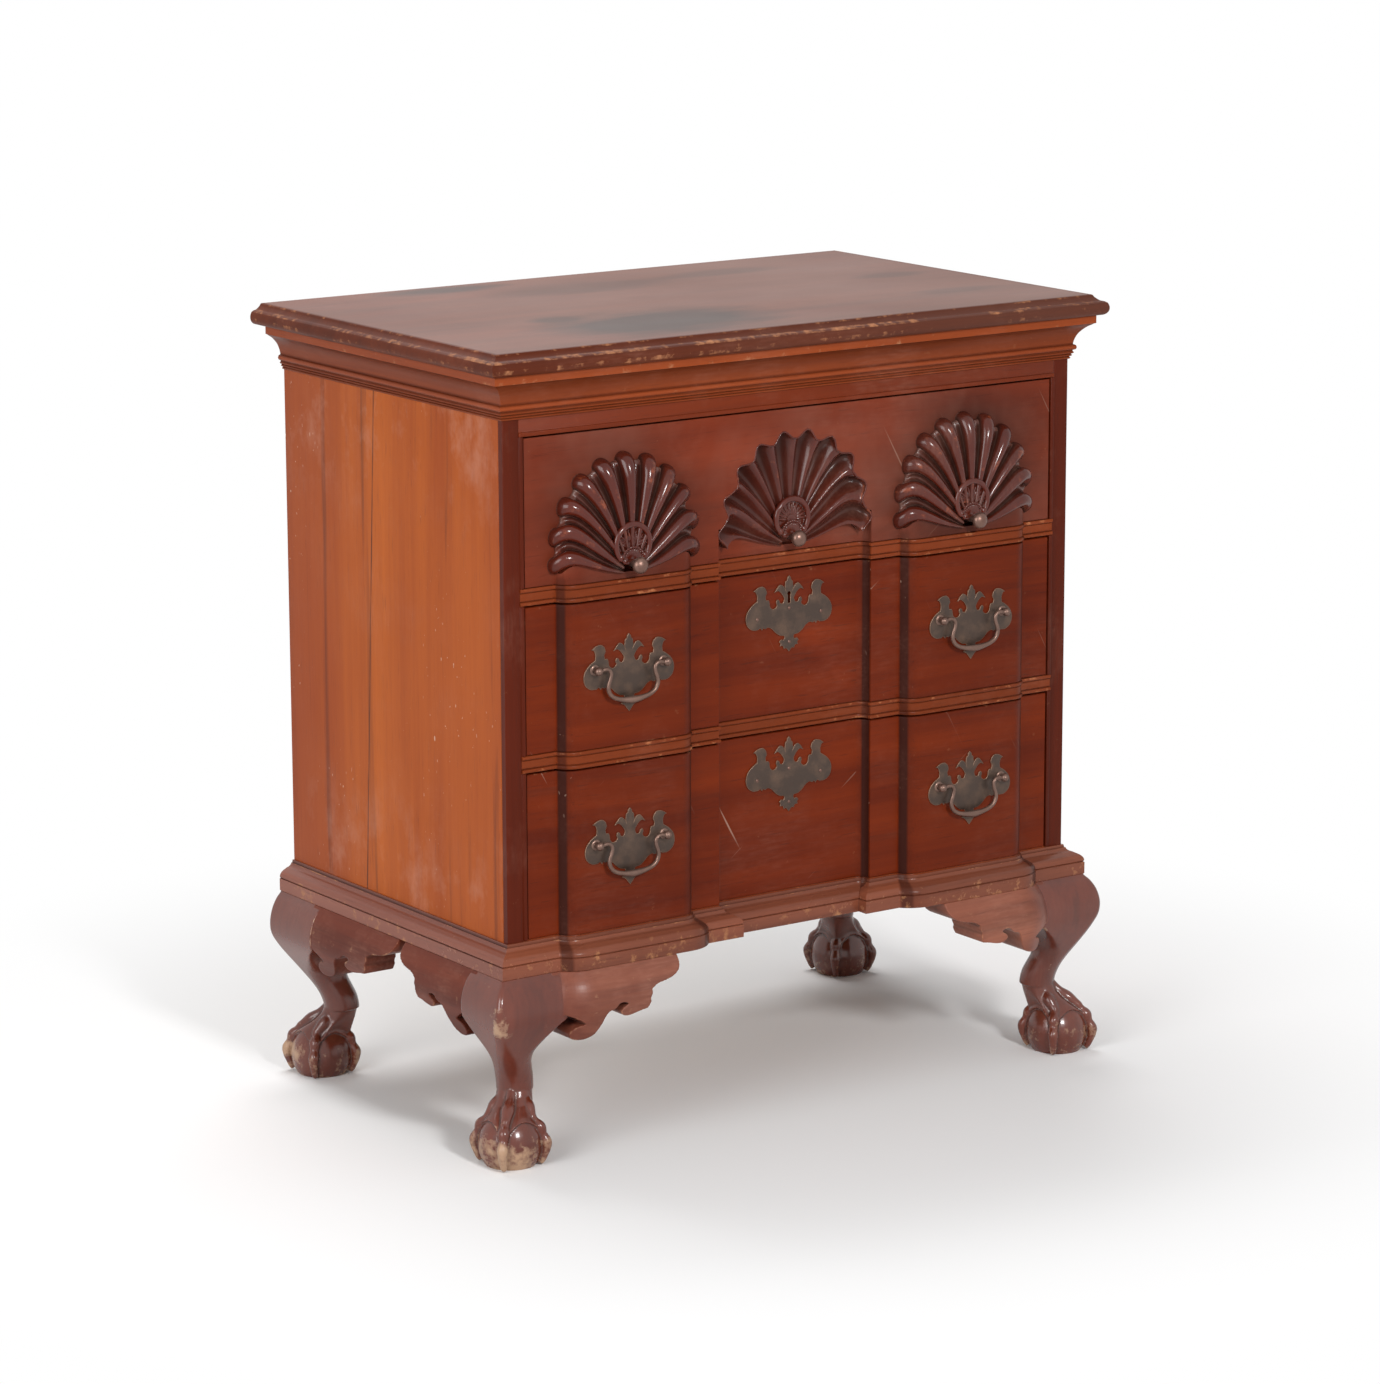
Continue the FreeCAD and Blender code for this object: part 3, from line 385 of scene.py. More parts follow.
def new_material(name):
    """Material with its node tree and its surface."""
    material = bpy.data.materials.new(name)
    material.use_nodes = True
    return material, material.node_tree, material.node_tree.nodes["Principled BSDF"]


def noise(tree, vector, scale, detail=3.0, rough=0.5):
    """Noise over a place stretched by `scale`, one number per axis."""
    inputs = {"Vector": stretch(tree, vector, scale), "Scale": 1.0, "Detail": detail, "Roughness": rough}
    return node(tree, "ShaderNodeTexNoise", inputs).outputs["Fac"]


def ramp(tree, value, start, end, to_low=0.0, to_high=1.0):
    """Value brought from one range to another and held at its ends."""
    inputs = {"Value": value, "From Min": start, "From Max": end, "To Min": to_low, "To Max": to_high}
    return node(tree, "ShaderNodeMapRange", inputs).outputs["Result"]


def math_node(tree, operation, a, b=0.0, clamp=False):
    return node(tree, "ShaderNodeMath", {0: a, 1: b}, operation=operation, use_clamp=clamp).outputs[0]


def times(tree, a, b, clamp=False):
    return math_node(tree, "MULTIPLY", a, b, clamp)


def plus(tree, a, b, clamp=False):
    return math_node(tree, "ADD", a, b, clamp)


def mix(tree, share, a, b):
    return node(tree, "ShaderNodeMix", {0: share, 6: a, 7: b}, data_type="RGBA").outputs[2]


def stretch(tree, vector, scale):
    return node(tree, "ShaderNodeVectorMath", {0: vector, 1: scale}, operation="MULTIPLY").outputs[0]


def shift(tree, vector, by):
    return node(tree, "ShaderNodeVectorMath", {0: vector, 1: by}, operation="ADD").outputs[0]


def vector_length(tree, vector):
    return node(tree, "ShaderNodeVectorMath", {0: vector}, operation="LENGTH").outputs["Value"]


def place_of(tree):
    """Place on the object, in metres."""
    return node(tree, "ShaderNodeTexCoord").outputs["Object"]


def axes_of(tree, place):
    return node(tree, "ShaderNodeSeparateXYZ", {"Vector": place}).outputs


def mark_of(tree, name):
    return node(tree, "ShaderNodeAttribute", attribute_name=name).outputs["Fac"]


def build_grain():
    """Wood with its grain along Z: soft bands, long dark streaks, fine pores."""
    inputs = {"Vector": "Vector", "Light": "Color", "Dark": "Color", "Streaks": "Float", "Pores": "Float",
              "Bands": "Float"}
    outputs = {"Color": "Color", "Height": "Float", "Rough": "Float"}
    group, given, out = new_group("wood grain", inputs, outputs)
    v = given["Vector"]
    wander = noise(group, v, (3, 3, 1.2), 2.0)
    sway = {"X": times(group, wander, 0.05), "Y": times(group, wander, 0.03)}
    bent = shift(group, v, node(group, "ShaderNodeCombineXYZ", sway).outputs[0])
    band = noise(group, bent, (26, 26, 0.9), 4.0, 0.55)
    fine = noise(group, bent, (170, 170, 5), 3.0, 0.6)
    streak = noise(group, bent, (58, 58, 1.1), 3.0, 0.6)
    pore = noise(group, bent, (700, 700, 30), 2.0, 0.5)
    cloud = noise(group, v, (5, 5, 3), 3.0, 0.5)
    share = plus(group, times(group, ramp(group, band, 0.3, 0.7), given["Bands"]),
                 ramp(group, fine, 0.3, 0.75, 0.0, 0.22))
    share = plus(group, share, ramp(group, cloud, 0.35, 0.7, 0.0, 0.25), True)
    color = mix(group, share, given["Light"], given["Dark"])
    dark = times(group, ramp(group, streak, 0.6, 0.74), given["Streaks"])
    color = mix(group, dark, color, (0.05, 0.014, 0.008, 1))
    pores = times(group, ramp(group, pore, 0.62, 0.72), given["Pores"])
    color = mix(group, times(group, pores, 0.45), color, (0.03, 0.01, 0.006, 1))
    group.links.new(color, out["Color"])
    group.links.new(math_node(group, "SUBTRACT", times(group, fine, 0.3), pores), out["Height"])
    group.links.new(ramp(group, cloud, 0.3, 0.7, -0.05, 0.07), out["Rough"])
    return group


def build_wear():
    """Finish rubbed through where the mark is high, broken up by noise."""
    inputs = {"Vector": "Vector", "Mark": "Float", "Amount": "Float", "Color": "Color", "Bare": "Color"}
    group, given, out = new_group("rubbed edge", inputs, {"Color": "Color", "Mask": "Float"})
    broken = noise(group, given["Vector"], (90, 90, 90), 5.0, 0.65)
    patchy = noise(group, given["Vector"], (14, 14, 14), 2.0, 0.5)
    level = times(group, given["Mark"], ramp(group, patchy, 0.3, 0.65, 0.35, 1.25))
    level = times(group, level, given["Amount"])
    mask = ramp(group, plus(group, level, ramp(group, broken, 0.3, 0.7, -0.42, 0.42)), 0.38, 0.85)
    group.links.new(mix(group, mask, given["Color"], given["Bare"]), out["Color"])
    group.links.new(mask, out["Mask"])
    return group


def build_dust():
    """Grey dust and old wax that settles in hollows."""
    inputs = {"Vector": "Vector", "Mark": "Float", "Amount": "Float", "Color": "Color"}
    group, given, out = new_group("settled dust", inputs, {"Color": "Color", "Mask": "Float"})
    patchy = noise(group, given["Vector"], (45, 45, 45), 4.0, 0.6)
    mask = times(group, ramp(group, patchy, 0.35, 0.7, 0.15, 1.0), given["Mark"])
    mask = times(group, mask, given["Amount"], True)
    group.links.new(mix(group, mask, given["Color"], DUST_COLOR), out["Color"])
    group.links.new(mask, out["Mask"])
    return group


def build_scratches():
    """A few fine pale scratches."""
    inputs = {"Vector": "Vector", "Amount": "Float", "Color": "Color"}
    group, given, out = new_group("fine scratches", inputs, {"Color": "Color"})
    lines = []
    for turn, scale in ((0.5, (260, 260, 7)), (-0.9, (230, 230, 9))):
        turned = node(group, "ShaderNodeVectorRotate", {"Vector": given["Vector"], "Angle": turn},
                      rotation_type="Y_AXIS").outputs[0]
        lines.append(ramp(group, noise(group, turned, scale, 1.0, 0.4), 0.76, 0.79))
    where = ramp(group, noise(group, given["Vector"], (6, 6, 6), 2.0), 0.5, 0.7)
    mask = times(group, plus(group, lines[0], lines[1], True), where)
    mask = times(group, mask, given["Amount"], True)
    group.links.new(mix(group, mask, given["Color"], SCRATCH_COLOR), out["Color"])
    return group


GRAIN, WEAR, DUST, SCRATCHES = build_grain(), build_wear(), build_dust(), build_scratches()


def wood(name, light, dark, grain=ALONG_Z, streaks=0.4, pores=0.6, bands=0.5, rough=0.36, wear=0.0,
         bare=(0.42, 0.2, 0.1), dust=0.0, scratches=0.0, gloss=0.12, shade=0.0, bloom=0.16, extra=None):
    """Finished wood. `grain` turns the pattern; the marks place the wear, the dust, and the painted shade
    with some darker toning of the finish.
    """
    material, tree, surface = new_material(name)
    place = place_of(tree)
    turned = node(tree, "ShaderNodeMapping", {"Vector": place, "Rotation": grain}).outputs[0]
    mark = {m: mark_of(tree, m) for m in ("edge", "hollow", "tone")}

    def part(group, **inputs):
        used = node(tree, "ShaderNodeGroup", node_tree=group)
        for key, value in inputs.items():
            if isinstance(value, bpy.types.NodeSocket):
                tree.links.new(value, used.inputs[key])
            else:
                used.inputs[key].default_value = (*value, 1) if isinstance(value, tuple) else value
        return used.outputs

    grained = part(GRAIN, Vector=turned, Light=light, Dark=dark, Streaks=streaks, Pores=pores, Bands=bands)
    color, roughness = grained["Color"], plus(tree, grained["Rough"], rough)
    # painted shade: the colour goes towards near black where the tone mark is high, as far as `shade`
    if shade:
        color = mix(tree, times(tree, mark["tone"], shade, True), color, (0.035, 0.009, 0.006, 1))
    if bloom:
        cloud = ramp(tree, noise(tree, place, (7, 7, 7), 5.0, 0.7), 0.48, 0.75)
        grit = ramp(tree, noise(tree, turned, (320, 320, 60), 2.0), 0.4, 0.7, 0.3, 1.0)
        color = mix(tree, times(tree, times(tree, cloud, grit), bloom), color, (0.5, 0.24, 0.17, 1))
    if extra:
        color, roughness = extra(tree, place, mark, color, roughness)
    if scratches:
        color = part(SCRATCHES, Vector=place, Amount=scratches, Color=color)["Color"]
    if wear:
        worn = part(WEAR, Vector=place, Mark=mark["edge"], Amount=wear, Color=color, Bare=bare)
        color, roughness = worn["Color"], plus(tree, roughness, times(tree, worn["Mask"], 0.25))
    if dust:
        dusty = part(DUST, Vector=place, Mark=mark["hollow"], Amount=dust, Color=color)
        color, roughness = dusty["Color"], plus(tree, roughness, times(tree, dusty["Mask"], 0.4))
    tree.links.new(color, surface.inputs["Base Color"])
    tree.links.new(roughness, surface.inputs["Roughness"])
    # less gloss where the painted shade and toning lie
    sheen = ramp(tree, mark["tone"], 0.0, 1.0, gloss, 0.35 * gloss)
    tree.links.new(sheen, surface.inputs["Specular IOR Level"])
    set_bump(tree, surface, grained["Height"], 0.25, 0.0003)
    return material


def set_bump(tree, surface, height, strength, distance):
    bump = node(tree, "ShaderNodeBump", {"Height": height, "Strength": strength, "Distance": distance})
    tree.links.new(bump.outputs[0], surface.inputs["Normal"])


# stains on the top: middle (x, y), half width, half depth, and how dark
TOP_STAINS = ((-112, 82, 150, 84, 0.85), (-190, 152, 36, 26, 0.6), (-172, 418, 80, 26, 0.75),
              (-30, 350, 130, 42, 0.4), (159, 363, 80, 26, 0.4), (298, 235, 50, 22, 0.4),
              (280, 95, 60, 20, 0.35))


def ragged_spot(tree, place, middle, scale, rag, start, end):
    """One inside a spot about `middle` and zero round it, with a ragged rim between."""
    centered = shift(tree, place, tuple(-v * MM for v in middle))
    far = vector_length(tree, stretch(tree, centered, scale))
    return ramp(tree, plus(tree, far, times(tree, rag, 0.9)), start, end)


def hazy_top(tree, place, mark, color, roughness):
    """Greyish bloom over the flat of the top, painted shade that darkens it towards the right, and dark
    stains.
    """
    bloom = ramp(tree, noise(tree, place, (2.2, 3.2, 1), 5.0, 0.6), 0.3, 0.62, 0.25, 0.9)
    bloom = times(tree, bloom, math_node(tree, "SUBTRACT", 1.0, mark["tone"], True))
    color = mix(tree, times(tree, bloom, 0.4), color, (0.27, 0.165, 0.13, 1))
    # painted shade: the top darker towards its right end
    shade_rightwards = ramp(tree, axes_of(tree, place)["X"], -0.25, 0.25, 0.0, 0.3)
    color = mix(tree, shade_rightwards, color, (0.12, 0.06, 0.045, 1))
    rag = noise(tree, place, (9, 26, 1), 4.0, 0.6)
    for x, y, wide, deep, depth in TOP_STAINS:
        scale = (1 / (wide * MM), 1 / (deep * MM), 1.0)
        spot = ragged_spot(tree, place, (x, y + front_plane, TOP_HEIGHT), scale, rag, 1.6, 1.0)
        color = mix(tree, times(tree, spot, depth, True), color, (0.035, 0.022, 0.018, 1))
    return color, plus(tree, roughness, times(tree, bloom, 0.12))


def deepened(tree, place, mark, color, roughness):
    """Carved parts darker in their hollows."""
    return mix(tree, times(tree, mark["hollow"], 1.3, True), color, (0.03, 0.008, 0.005, 1)), roughness


def paler_tips(tree, place, mark, color, roughness):
    """Brackets the colour of the legs beside them and rubbed paler towards their tips."""
    near = ramp(tree, math_node(tree, "ABSOLUTE", axes_of(tree, place)["X"]), 0.275, 0.335, 0.0, 0.8)
    return deepened(tree, place, mark, mix(tree, near, color, (0.11, 0.022, 0.011, 1)), roughness)


def shaded_panel(tree, place, mark, color, roughness):
    """Painted shade round the carvings and along the top, darkest round the right one and clearer between
    them, with pale clouds over all.
    """
    rag = noise(tree, place, (7, 7, 10), 4.0, 0.6)
    # painted shade round each carving, darkest on the right where less light falls
    for center_x, dark in ((-BLOCK_CENTER, 0.55), (0.0, 0.25), (BLOCK_CENTER, 0.85)):
        middle = (center_x, 0, ROSETTE_Z + 25)
        shadow = ragged_spot(tree, place, middle, (1000 / 115, 0, 1000 / 90), rag, 1.85, 1.05)
        color = mix(tree, times(tree, shadow, dark, True), color, (0.05, 0.014, 0.009, 1))
    haze = ramp(tree, noise(tree, place, (6, 6, 5), 4.0, 0.65), 0.45, 0.7, 0.0, 0.22)
    return mix(tree, haze, color, (0.24, 0.12, 0.09, 1)), roughness


def joined_boards(tree, place, mark, color, roughness):
    """Two boards with a dark glue line between them, redder towards both edges, with a pale bloom."""

    def off(value, middle):
        return math_node(tree, "ABSOLUTE", math_node(tree, "SUBTRACT", value, middle))

    axes = axes_of(tree, place)
    line = plus(tree, axes["Y"], times(tree, axes["Z"], 0.055))
    broken = ramp(tree, noise(tree, place, (0, 0, 14), 3.0), 0.35, 0.6, 0.35, 0.9)
    seam = times(tree, ramp(tree, off(line, (288.5 + front_plane) * MM), 0.0017, 0.0005), broken)
    rag = times(tree, noise(tree, place, (9, 9, 2), 3.0), 0.22)
    red = ramp(tree, plus(tree, off(axes["Y"], (205 + front_plane) * MM), rag), 0.17, 0.36, 0.0, 0.6)
    color = mix(tree, red, color, (0.22, 0.035, 0.01, 1))
    color = mix(tree, seam, color, (0.06, 0.014, 0.006, 1))
    haze = ramp(tree, noise(tree, place, (11, 11, 8), 5.0, 0.7), 0.52, 0.72, 0.0, 0.4)
    haze = times(tree, haze, ramp(tree, off(axes["Z"], 0.49), 0.12, 0.26))
    return mix(tree, haze, color, (0.55, 0.3, 0.22, 1)), roughness


def metal(name, base, worn, rough=0.42, edge_share=0.8, metallic=0.85):
    """Aged brass: dark film, worn bright where it is handled."""
    material, tree, surface = new_material(name)
    place = place_of(tree)
    cloud = noise(tree, place, (60, 60, 60), 4.0, 0.6)
    speck = noise(tree, place, (420, 420, 420), 3.0, 0.6)
    share = times(tree, mark_of(tree, "edge"), edge_share)
    share = plus(tree, share, ramp(tree, cloud, 0.45, 0.8, 0.0, 0.3), True)
    color = mix(tree, share, (*base, 1), (*worn, 1))
    color = mix(tree, ramp(tree, speck, 0.6, 0.72, 0.0, 0.35), color, (0.03, 0.024, 0.02, 1))
    tree.links.new(color, surface.inputs["Base Color"])
    tree.links.new(ramp(tree, cloud, 0.3, 0.7, rough - 0.08, rough + 0.12), surface.inputs["Roughness"])
    surface.inputs["Metallic"].default_value = metallic
    set_bump(tree, surface, speck, 0.2, 0.0002)
    return material


side_wood = wood("side mahogany", (0.43, 0.098, 0.011), (0.27, 0.048, 0.006), streaks=0.6, rough=0.4,
                 wear=0.25, scratches=0.7, extra=joined_boards)
drawer_wood = wood("drawer mahogany", (0.25, 0.03, 0.002), (0.11, 0.0105, 0.001), ALONG_X, 0.3, 0.8, 0.75,
                   0.34, wear=0.3, scratches=0.35, shade=0.76, bloom=0.08)
panel_wood = wood("upper drawer mahogany", (0.23, 0.036, 0.012), (0.12, 0.017, 0.006), ALONG_X, 0.2, 0.6, 0.5,
                  0.38, wear=0.2, scratches=0.3, shade=0.45, extra=shaded_panel)
stile_wood = wood("stile mahogany", (0.105, 0.011, 0.0015), (0.052, 0.006, 0.001), streaks=0.3, wear=0.3)
rail_wood = wood("rail mahogany", (0.28, 0.052, 0.012), (0.15, 0.025, 0.005), ALONG_X, 0.2, 0.5, 0.5, 0.3,
                 wear=0.4, bare=(0.5, 0.19, 0.08), shade=0.6)
top_rail_wood = wood("top rail mahogany", (0.17, 0.026, 0.006), (0.09, 0.012, 0.003), ALONG_X, 0.3, 0.5, 0.5,
                     wear=0.3, bare=(0.42, 0.15, 0.06))
top_wood = wood("top mahogany", (0.17, 0.034, 0.01), (0.075, 0.015, 0.006), ALONG_X, 0.3, 0.7, 0.6, 0.42,
                wear=0.5, bare=(0.4, 0.17, 0.08), gloss=0.25, shade=0.3, extra=hazy_top)
cornice_wood, cornice_side_wood = (
    wood(name, (0.3, 0.058, 0.013), (0.16, 0.028, 0.007), grain, 0.25, 0.5, 0.5, wear=0.45, dust=0.3,
         shade=0.7)
    for name, grain in (("cornice mahogany", ALONG_X), ("cornice return mahogany", ALONG_Y)))
base_wood = wood("base mahogany", (0.31, 0.09, 0.044), (0.15, 0.042, 0.022), ALONG_X, 0.4, 0.6, 0.9, 0.26,
                 wear=0.4, bare=(0.42, 0.19, 0.08), dust=0.25, gloss=0.35, shade=0.6, bloom=0.05)
base_side_wood = wood("base return mahogany", (0.25, 0.078, 0.046), (0.14, 0.04, 0.025), ALONG_Y, 0.3, 0.6,
                      0.8, 0.3, wear=0.45, bare=(0.42, 0.19, 0.08), dust=0.25, gloss=0.3, shade=0.9,
                      bloom=0.1)
leg_wood = wood("leg mahogany", (0.15, 0.03, 0.014), (0.07, 0.014, 0.008), streaks=0.35, pores=0.4, rough=0.2,
                wear=0.85, bare=(0.38, 0.23, 0.14), dust=0.15, gloss=0.6, bloom=0.1, extra=deepened)
bracket_wood = wood("bracket mahogany", (0.3, 0.095, 0.052), (0.13, 0.036, 0.021), ALONG_X, 0.5, 0.6, 1.0,
                    0.34, wear=0.6, bare=(0.42, 0.22, 0.12), dust=0.2, gloss=0.3, bloom=0.3, extra=paler_tips)
bracket_side_wood = wood("side bracket mahogany", (0.165, 0.036, 0.018), (0.08, 0.017, 0.01), ALONG_Y, 0.5,
                         0.6, 1.0, 0.34, wear=0.6, bare=(0.42, 0.23, 0.13), dust=0.2, bloom=0.3,
                         extra=deepened)
shell_wood = wood("carved mahogany", (0.1, 0.013, 0.005), (0.048, 0.0065, 0.0035), ALONG_Z, 0.2, 0.3, 0.5,
                  0.17, wear=0.45, bare=(0.27, 0.06, 0.02), dust=0.35, gloss=0.42, shade=0.9)
inner_wood = wood("drawer lining", (0.52, 0.36, 0.2), (0.38, 0.24, 0.13), ALONG_Y, 0.1, 0.3, 0.5, 0.6)
back_wood = wood("back boards", (0.36, 0.22, 0.12), (0.24, 0.14, 0.08), ALONG_X, 0.2, 0.4, 0.6, 0.65)
plate_brass = metal("plate brass", (0.06, 0.038, 0.028), (0.28, 0.16, 0.1), 0.42, 0.6, 0.5)
bail_brass = metal("bail brass", (0.13, 0.075, 0.058), (0.34, 0.21, 0.16), 0.34, 0.45, 0.7)
knob_brass = metal("knob brass", (0.15, 0.078, 0.06), (0.34, 0.22, 0.17), 0.34, 0.4, 0.7)
lock_brass = metal("lock brass", (0.25, 0.18, 0.09), (0.45, 0.36, 0.2), 0.4, 0.6)


# ---------------------------------------------------------------- blocked front
GROOVE = -1.0  # mark of painted shade in a groove of a profile
# painted shade on the walls of the blocks and of the recess
CORNER_SHADE = 1.35
turn_y = BLOCK_ROUND - BLOCK_PROUD
turn_in = math.sqrt(BLOCK_ROUND ** 2 - turn_y ** 2)
block_turns = (BLOCK_CENTER - BLOCK_WIDTH / 2 + turn_in, BLOCK_CENTER + BLOCK_WIDTH / 2 - turn_in)


def blocked_line(grow, facets=10):
    """Plan of the blocked front as (x, y), `grow` in front of the drawer faces."""
    radius = BLOCK_ROUND + grow
    lean = math.degrees(math.asin((turn_y + grow) / radius))
    wall, floor = RECESS_HALF - grow, RECESS_DEPTH - grow
    cove = max(RECESS_ROUND - grow, COVE_LEAST)

    def arc(x, y, r, start, end):
        angles = [math.radians(start + (end - start) * k / facets) for k in range(facets + 1)]
        return [(x + r * math.cos(t), y + r * math.sin(t)) for t in angles]

    half = arc(wall - cove, floor - cove, cove, 90, 0) + [(wall, -grow)]
    half += arc(block_turns[0], turn_y, radius, 180 + lean, 270)
    half += arc(block_turns[1], turn_y, radius, 270, 360 - lean)
    return [(-x, y) for x, y in reversed(half)] + half


def front_shade_and_toning(x):
    """How much painted shade and toning lie along the blocked front: painted shade in the corners and on the
    walls, clear on the broad faces.
    """
    to_block = abs(abs(x) - BLOCK_CENTER)
    half = BLOCK_WIDTH / 2
    if to_block < half:
        return CORNER_SHADE if to_block > 0.93 * half else 0.36 + 0.64 * (to_block / half) ** 5
    if abs(x) < RECESS_HALF:
        return CORNER_SHADE if abs(x) > 0.95 * RECESS_HALF else 0.08 + 0.92 * (abs(x) / RECESS_HALF) ** 8
    return 0.4


def blocked_form(name, profile, half, back=None, mitre=0.0):
    """Board or moulding along the blocked front.

    The profile is (projection, height, mark); a mark above zero is wear, and below zero painted shade and
    toning.
    """
    lines = [[(-half - g * mitre, -g)] + blocked_line(g) + [(half + g * mitre, -g)] for g, _, _ in profile]
    base = [(-half, 0)] + blocked_line(0) + [(half, 0)]
    foot, top = profile[0][1], profile[-1][1]
    rings, edges, shade_and_toning_values = [], [], []
    for k, (x, y) in enumerate(base):
        rear = y if back is None else back
        ring = [(*line[k], z) for line, (_, z, _) in zip(lines, profile)]
        rings.append(ring + [(x, rear, top), (x, rear, foot)])
        edges += [max(0.0, mark) for _, _, mark in profile] + [0, 0]
        shade_and_toning_values += [max(front_shade_and_toning(x), -mark) for _, _, mark in profile] + [0, 0]
    points, faces = join_rings(rings)
    return turn_outwards(make_mesh(name, points, faces, edge=edges, tone=shade_and_toning_values))


def both_edges(edge, z0, z1):
    """Profile between two heights with the same edge at both."""
    return [(g, z0 + h, w) for g, h, w in edge] + [(g, z1 - h, w) for g, h, w in reversed(edge)]


def rail_profile(z0, z1):
    """Rail with a rounded bead along both edges."""
    # the quirks beside the bead carry painted shade
    bead = [(0.2, 0.0, GROOVE), (1.2, 0.5, 0.5), (BEAD_PROUD, 1.3, 0.8), (BEAD_PROUD, 2.8, 0.6),
            (1.2, 3.7, 0.3), (0.0, BEAD - 0.3, GROOVE), (-0.6, BEAD, GROOVE), (-0.6, BEAD + 0.5, GROOVE),
            (0, BEAD + 0.9, 0.3), (0, BEAD + 1.6, 0)]
    return both_edges(bead, z0, z1)


def board_profile(z0, z1):
    """Drawer front with softened long edges."""
    return both_edges([(-0.8, 0, 0.7), (-0.2, 0.3, 0.8), (0, 1.0, 0.3), (0, 5.0, 0.0)], z0, z1)


def board(name, x0, x1, y0, y1, z0, z1):
    """Mesh of a plain board."""
    rings = [[(x, y0, z0), (x, y1, z0), (x, y1, z1), (x, y0, z1)] for x in (x0, x1)]
    return turn_outwards(make_mesh(name, *join_rings(rings)))


def flat_form(name, outline, y0, y1):
    """Board with an outline of (x, z) between two depths."""
    rings = [[(x, y, z) for x, z in outline] for y in (y0, y1)]
    return turn_outwards(make_mesh(name, *join_rings(rings)))


# ---------------------------------------------------------------- carved shells
FILLET_AT = 0.84  # place across a valley where its hollow starts
RAISED_BACK, SUNK_BACK = 0.3, 18.6
POCKET_DEPTH = 18.8
ARCH_STEPS = 48


def crest(w):
    """One in the middle of a lobe or hollow and zero at its edges."""
    return 0.5 + 0.5 * math.cos(math.pi * w)


def shell_lines(radius, sunk):
    """Lines of the fan, as (degrees from upright, reach of the rim, place across its lobe or valley, kind).

    A raised shell has round lobes with hollowed valleys between them.
    A sunk one is a wave of hollows with tips.
    """
    lines = []
    if sunk:
        for k in range(HOLLOWS):
            middle = (k - (HOLLOWS - 1) / 2) * HOLLOW_STEP
            wide = SUNK_SPREAD * min(1.0, (middle / 85.0) ** 2)
            for j in range(-9, 10 if k == HOLLOWS - 1 else 9):
                w = j / 9
                reach = radius + wide - HOLLOW_REACH * (1 - crest(w) ** 1.2)
                lines.append((middle + w * HOLLOW_STEP / 2, reach, w, "hollow"))
        return lines
    gap = LOBE_STEP - 2 * LOBE_HALF
    neck = radius - TIP_REACH
    for k in range(LOBES):
        middle = (k - (LOBES - 1) / 2) * LOBE_STEP
        for j in range(-8, 9):
            w = math.sin(math.pi / 2 * j / 8)
            reach = neck + TIP_REACH * math.sqrt(max(0.0, 1 - w * w))
            lines.append((middle + w * LOBE_HALF, reach, w, "lobe"))
        if k < LOBES - 1:
            for j in range(-6, 7):
                w = j / 7
                reach = neck - VALLEY_DIP * (1 - w * w)
                lines.append((middle + LOBE_STEP / 2 + w * gap / 2, reach, w, "valley"))
    return lines


def shell_point(heading, reach, share):
    """Place on the fan, as (x, z) about the rosette.

    The lobes spring from a pinch below it, and the lowest are ogees.
    """
    turn = math.radians(heading)
    lowest = abs(math.sin(turn)) ** 5 * (1.0 if abs(heading) > 60 else 0.6)
    bow = 2.1 - 1.05 * unit((abs(heading) - 60) / 28)
    x = reach * math.sin(turn) * share
    z = reach * math.cos(turn) * share - PINCH_DROP * (1 - share) ** bow
    return x, z + lowest * (78.0 * share ** 4 * (1 - share) - 7.0 * share ** 8)


def carved_height(share, w, kind):
    """Height of the carving above the flat face of the drawer; negative is below it."""
    spring = min(1.0, 0.3 + 0.9 * share)
    if kind == "hollow":
        depth = crest(w)
        bowl = math.sqrt(max(0.0, 1 - share ** (2.6 + 7 * depth)))
        return -bowl * (12.0 + spring * (5.4 * depth - 4.6 * (1 - depth)))
    if kind == "lobe":
        relief = 9.0 * math.sqrt(max(0.0, 1 - w * w))
    else:
        relief = 1.3 - 5.5 * max(0.0, 1 - (abs(w) / FILLET_AT) ** 2)
    ends = math.sqrt(max(0.0, 1 - share ** 10)) * spring
    return 2.0 + 13.5 * math.sqrt(max(0.0, 1 - share ** 2.6)) + relief * ends


def carved_marks(share, w, kind):
    """Marks of the carving: dust in the hollows, wear on the crests, and painted shade with some toning in
    the depth, in the creases and at the tips.
    """
    rim = max(0.0, share - 0.93) * 10
    root = max(0.0, 0.3 - share) * 4
    if kind == "hollow":
        depth = crest(w)
        end = unit((share - 0.55) / 0.3) * (share < 0.975)
        wear = 0.5 * (1 - depth) ** 2 + 0.8 * (share > 0.985)
        # painted shade deeper into each hollow and towards its end
        return 0.15 * depth + root, wear, 0.1 + depth * (0.4 + 0.6 * end)
    if kind == "lobe":
        # painted shade at the feet and the tips of the lobes
        foot = max(0.0, abs(w) - 0.85) * 4
        return 0.3 * foot + root, 0.7 * (1 - abs(w)), 0.1 + 1.2 * foot + 0.6 * rim
    fillet = abs(w) > FILLET_AT - 0.02
    # painted shade along the sides of each valley
    tone = (1.0 if abs(w) > 0.55 else 0.5) * (share < 0.95)
    return 0.3 * (1 - w * w) + 0.6 * fillet + rim + root, 0.0, tone


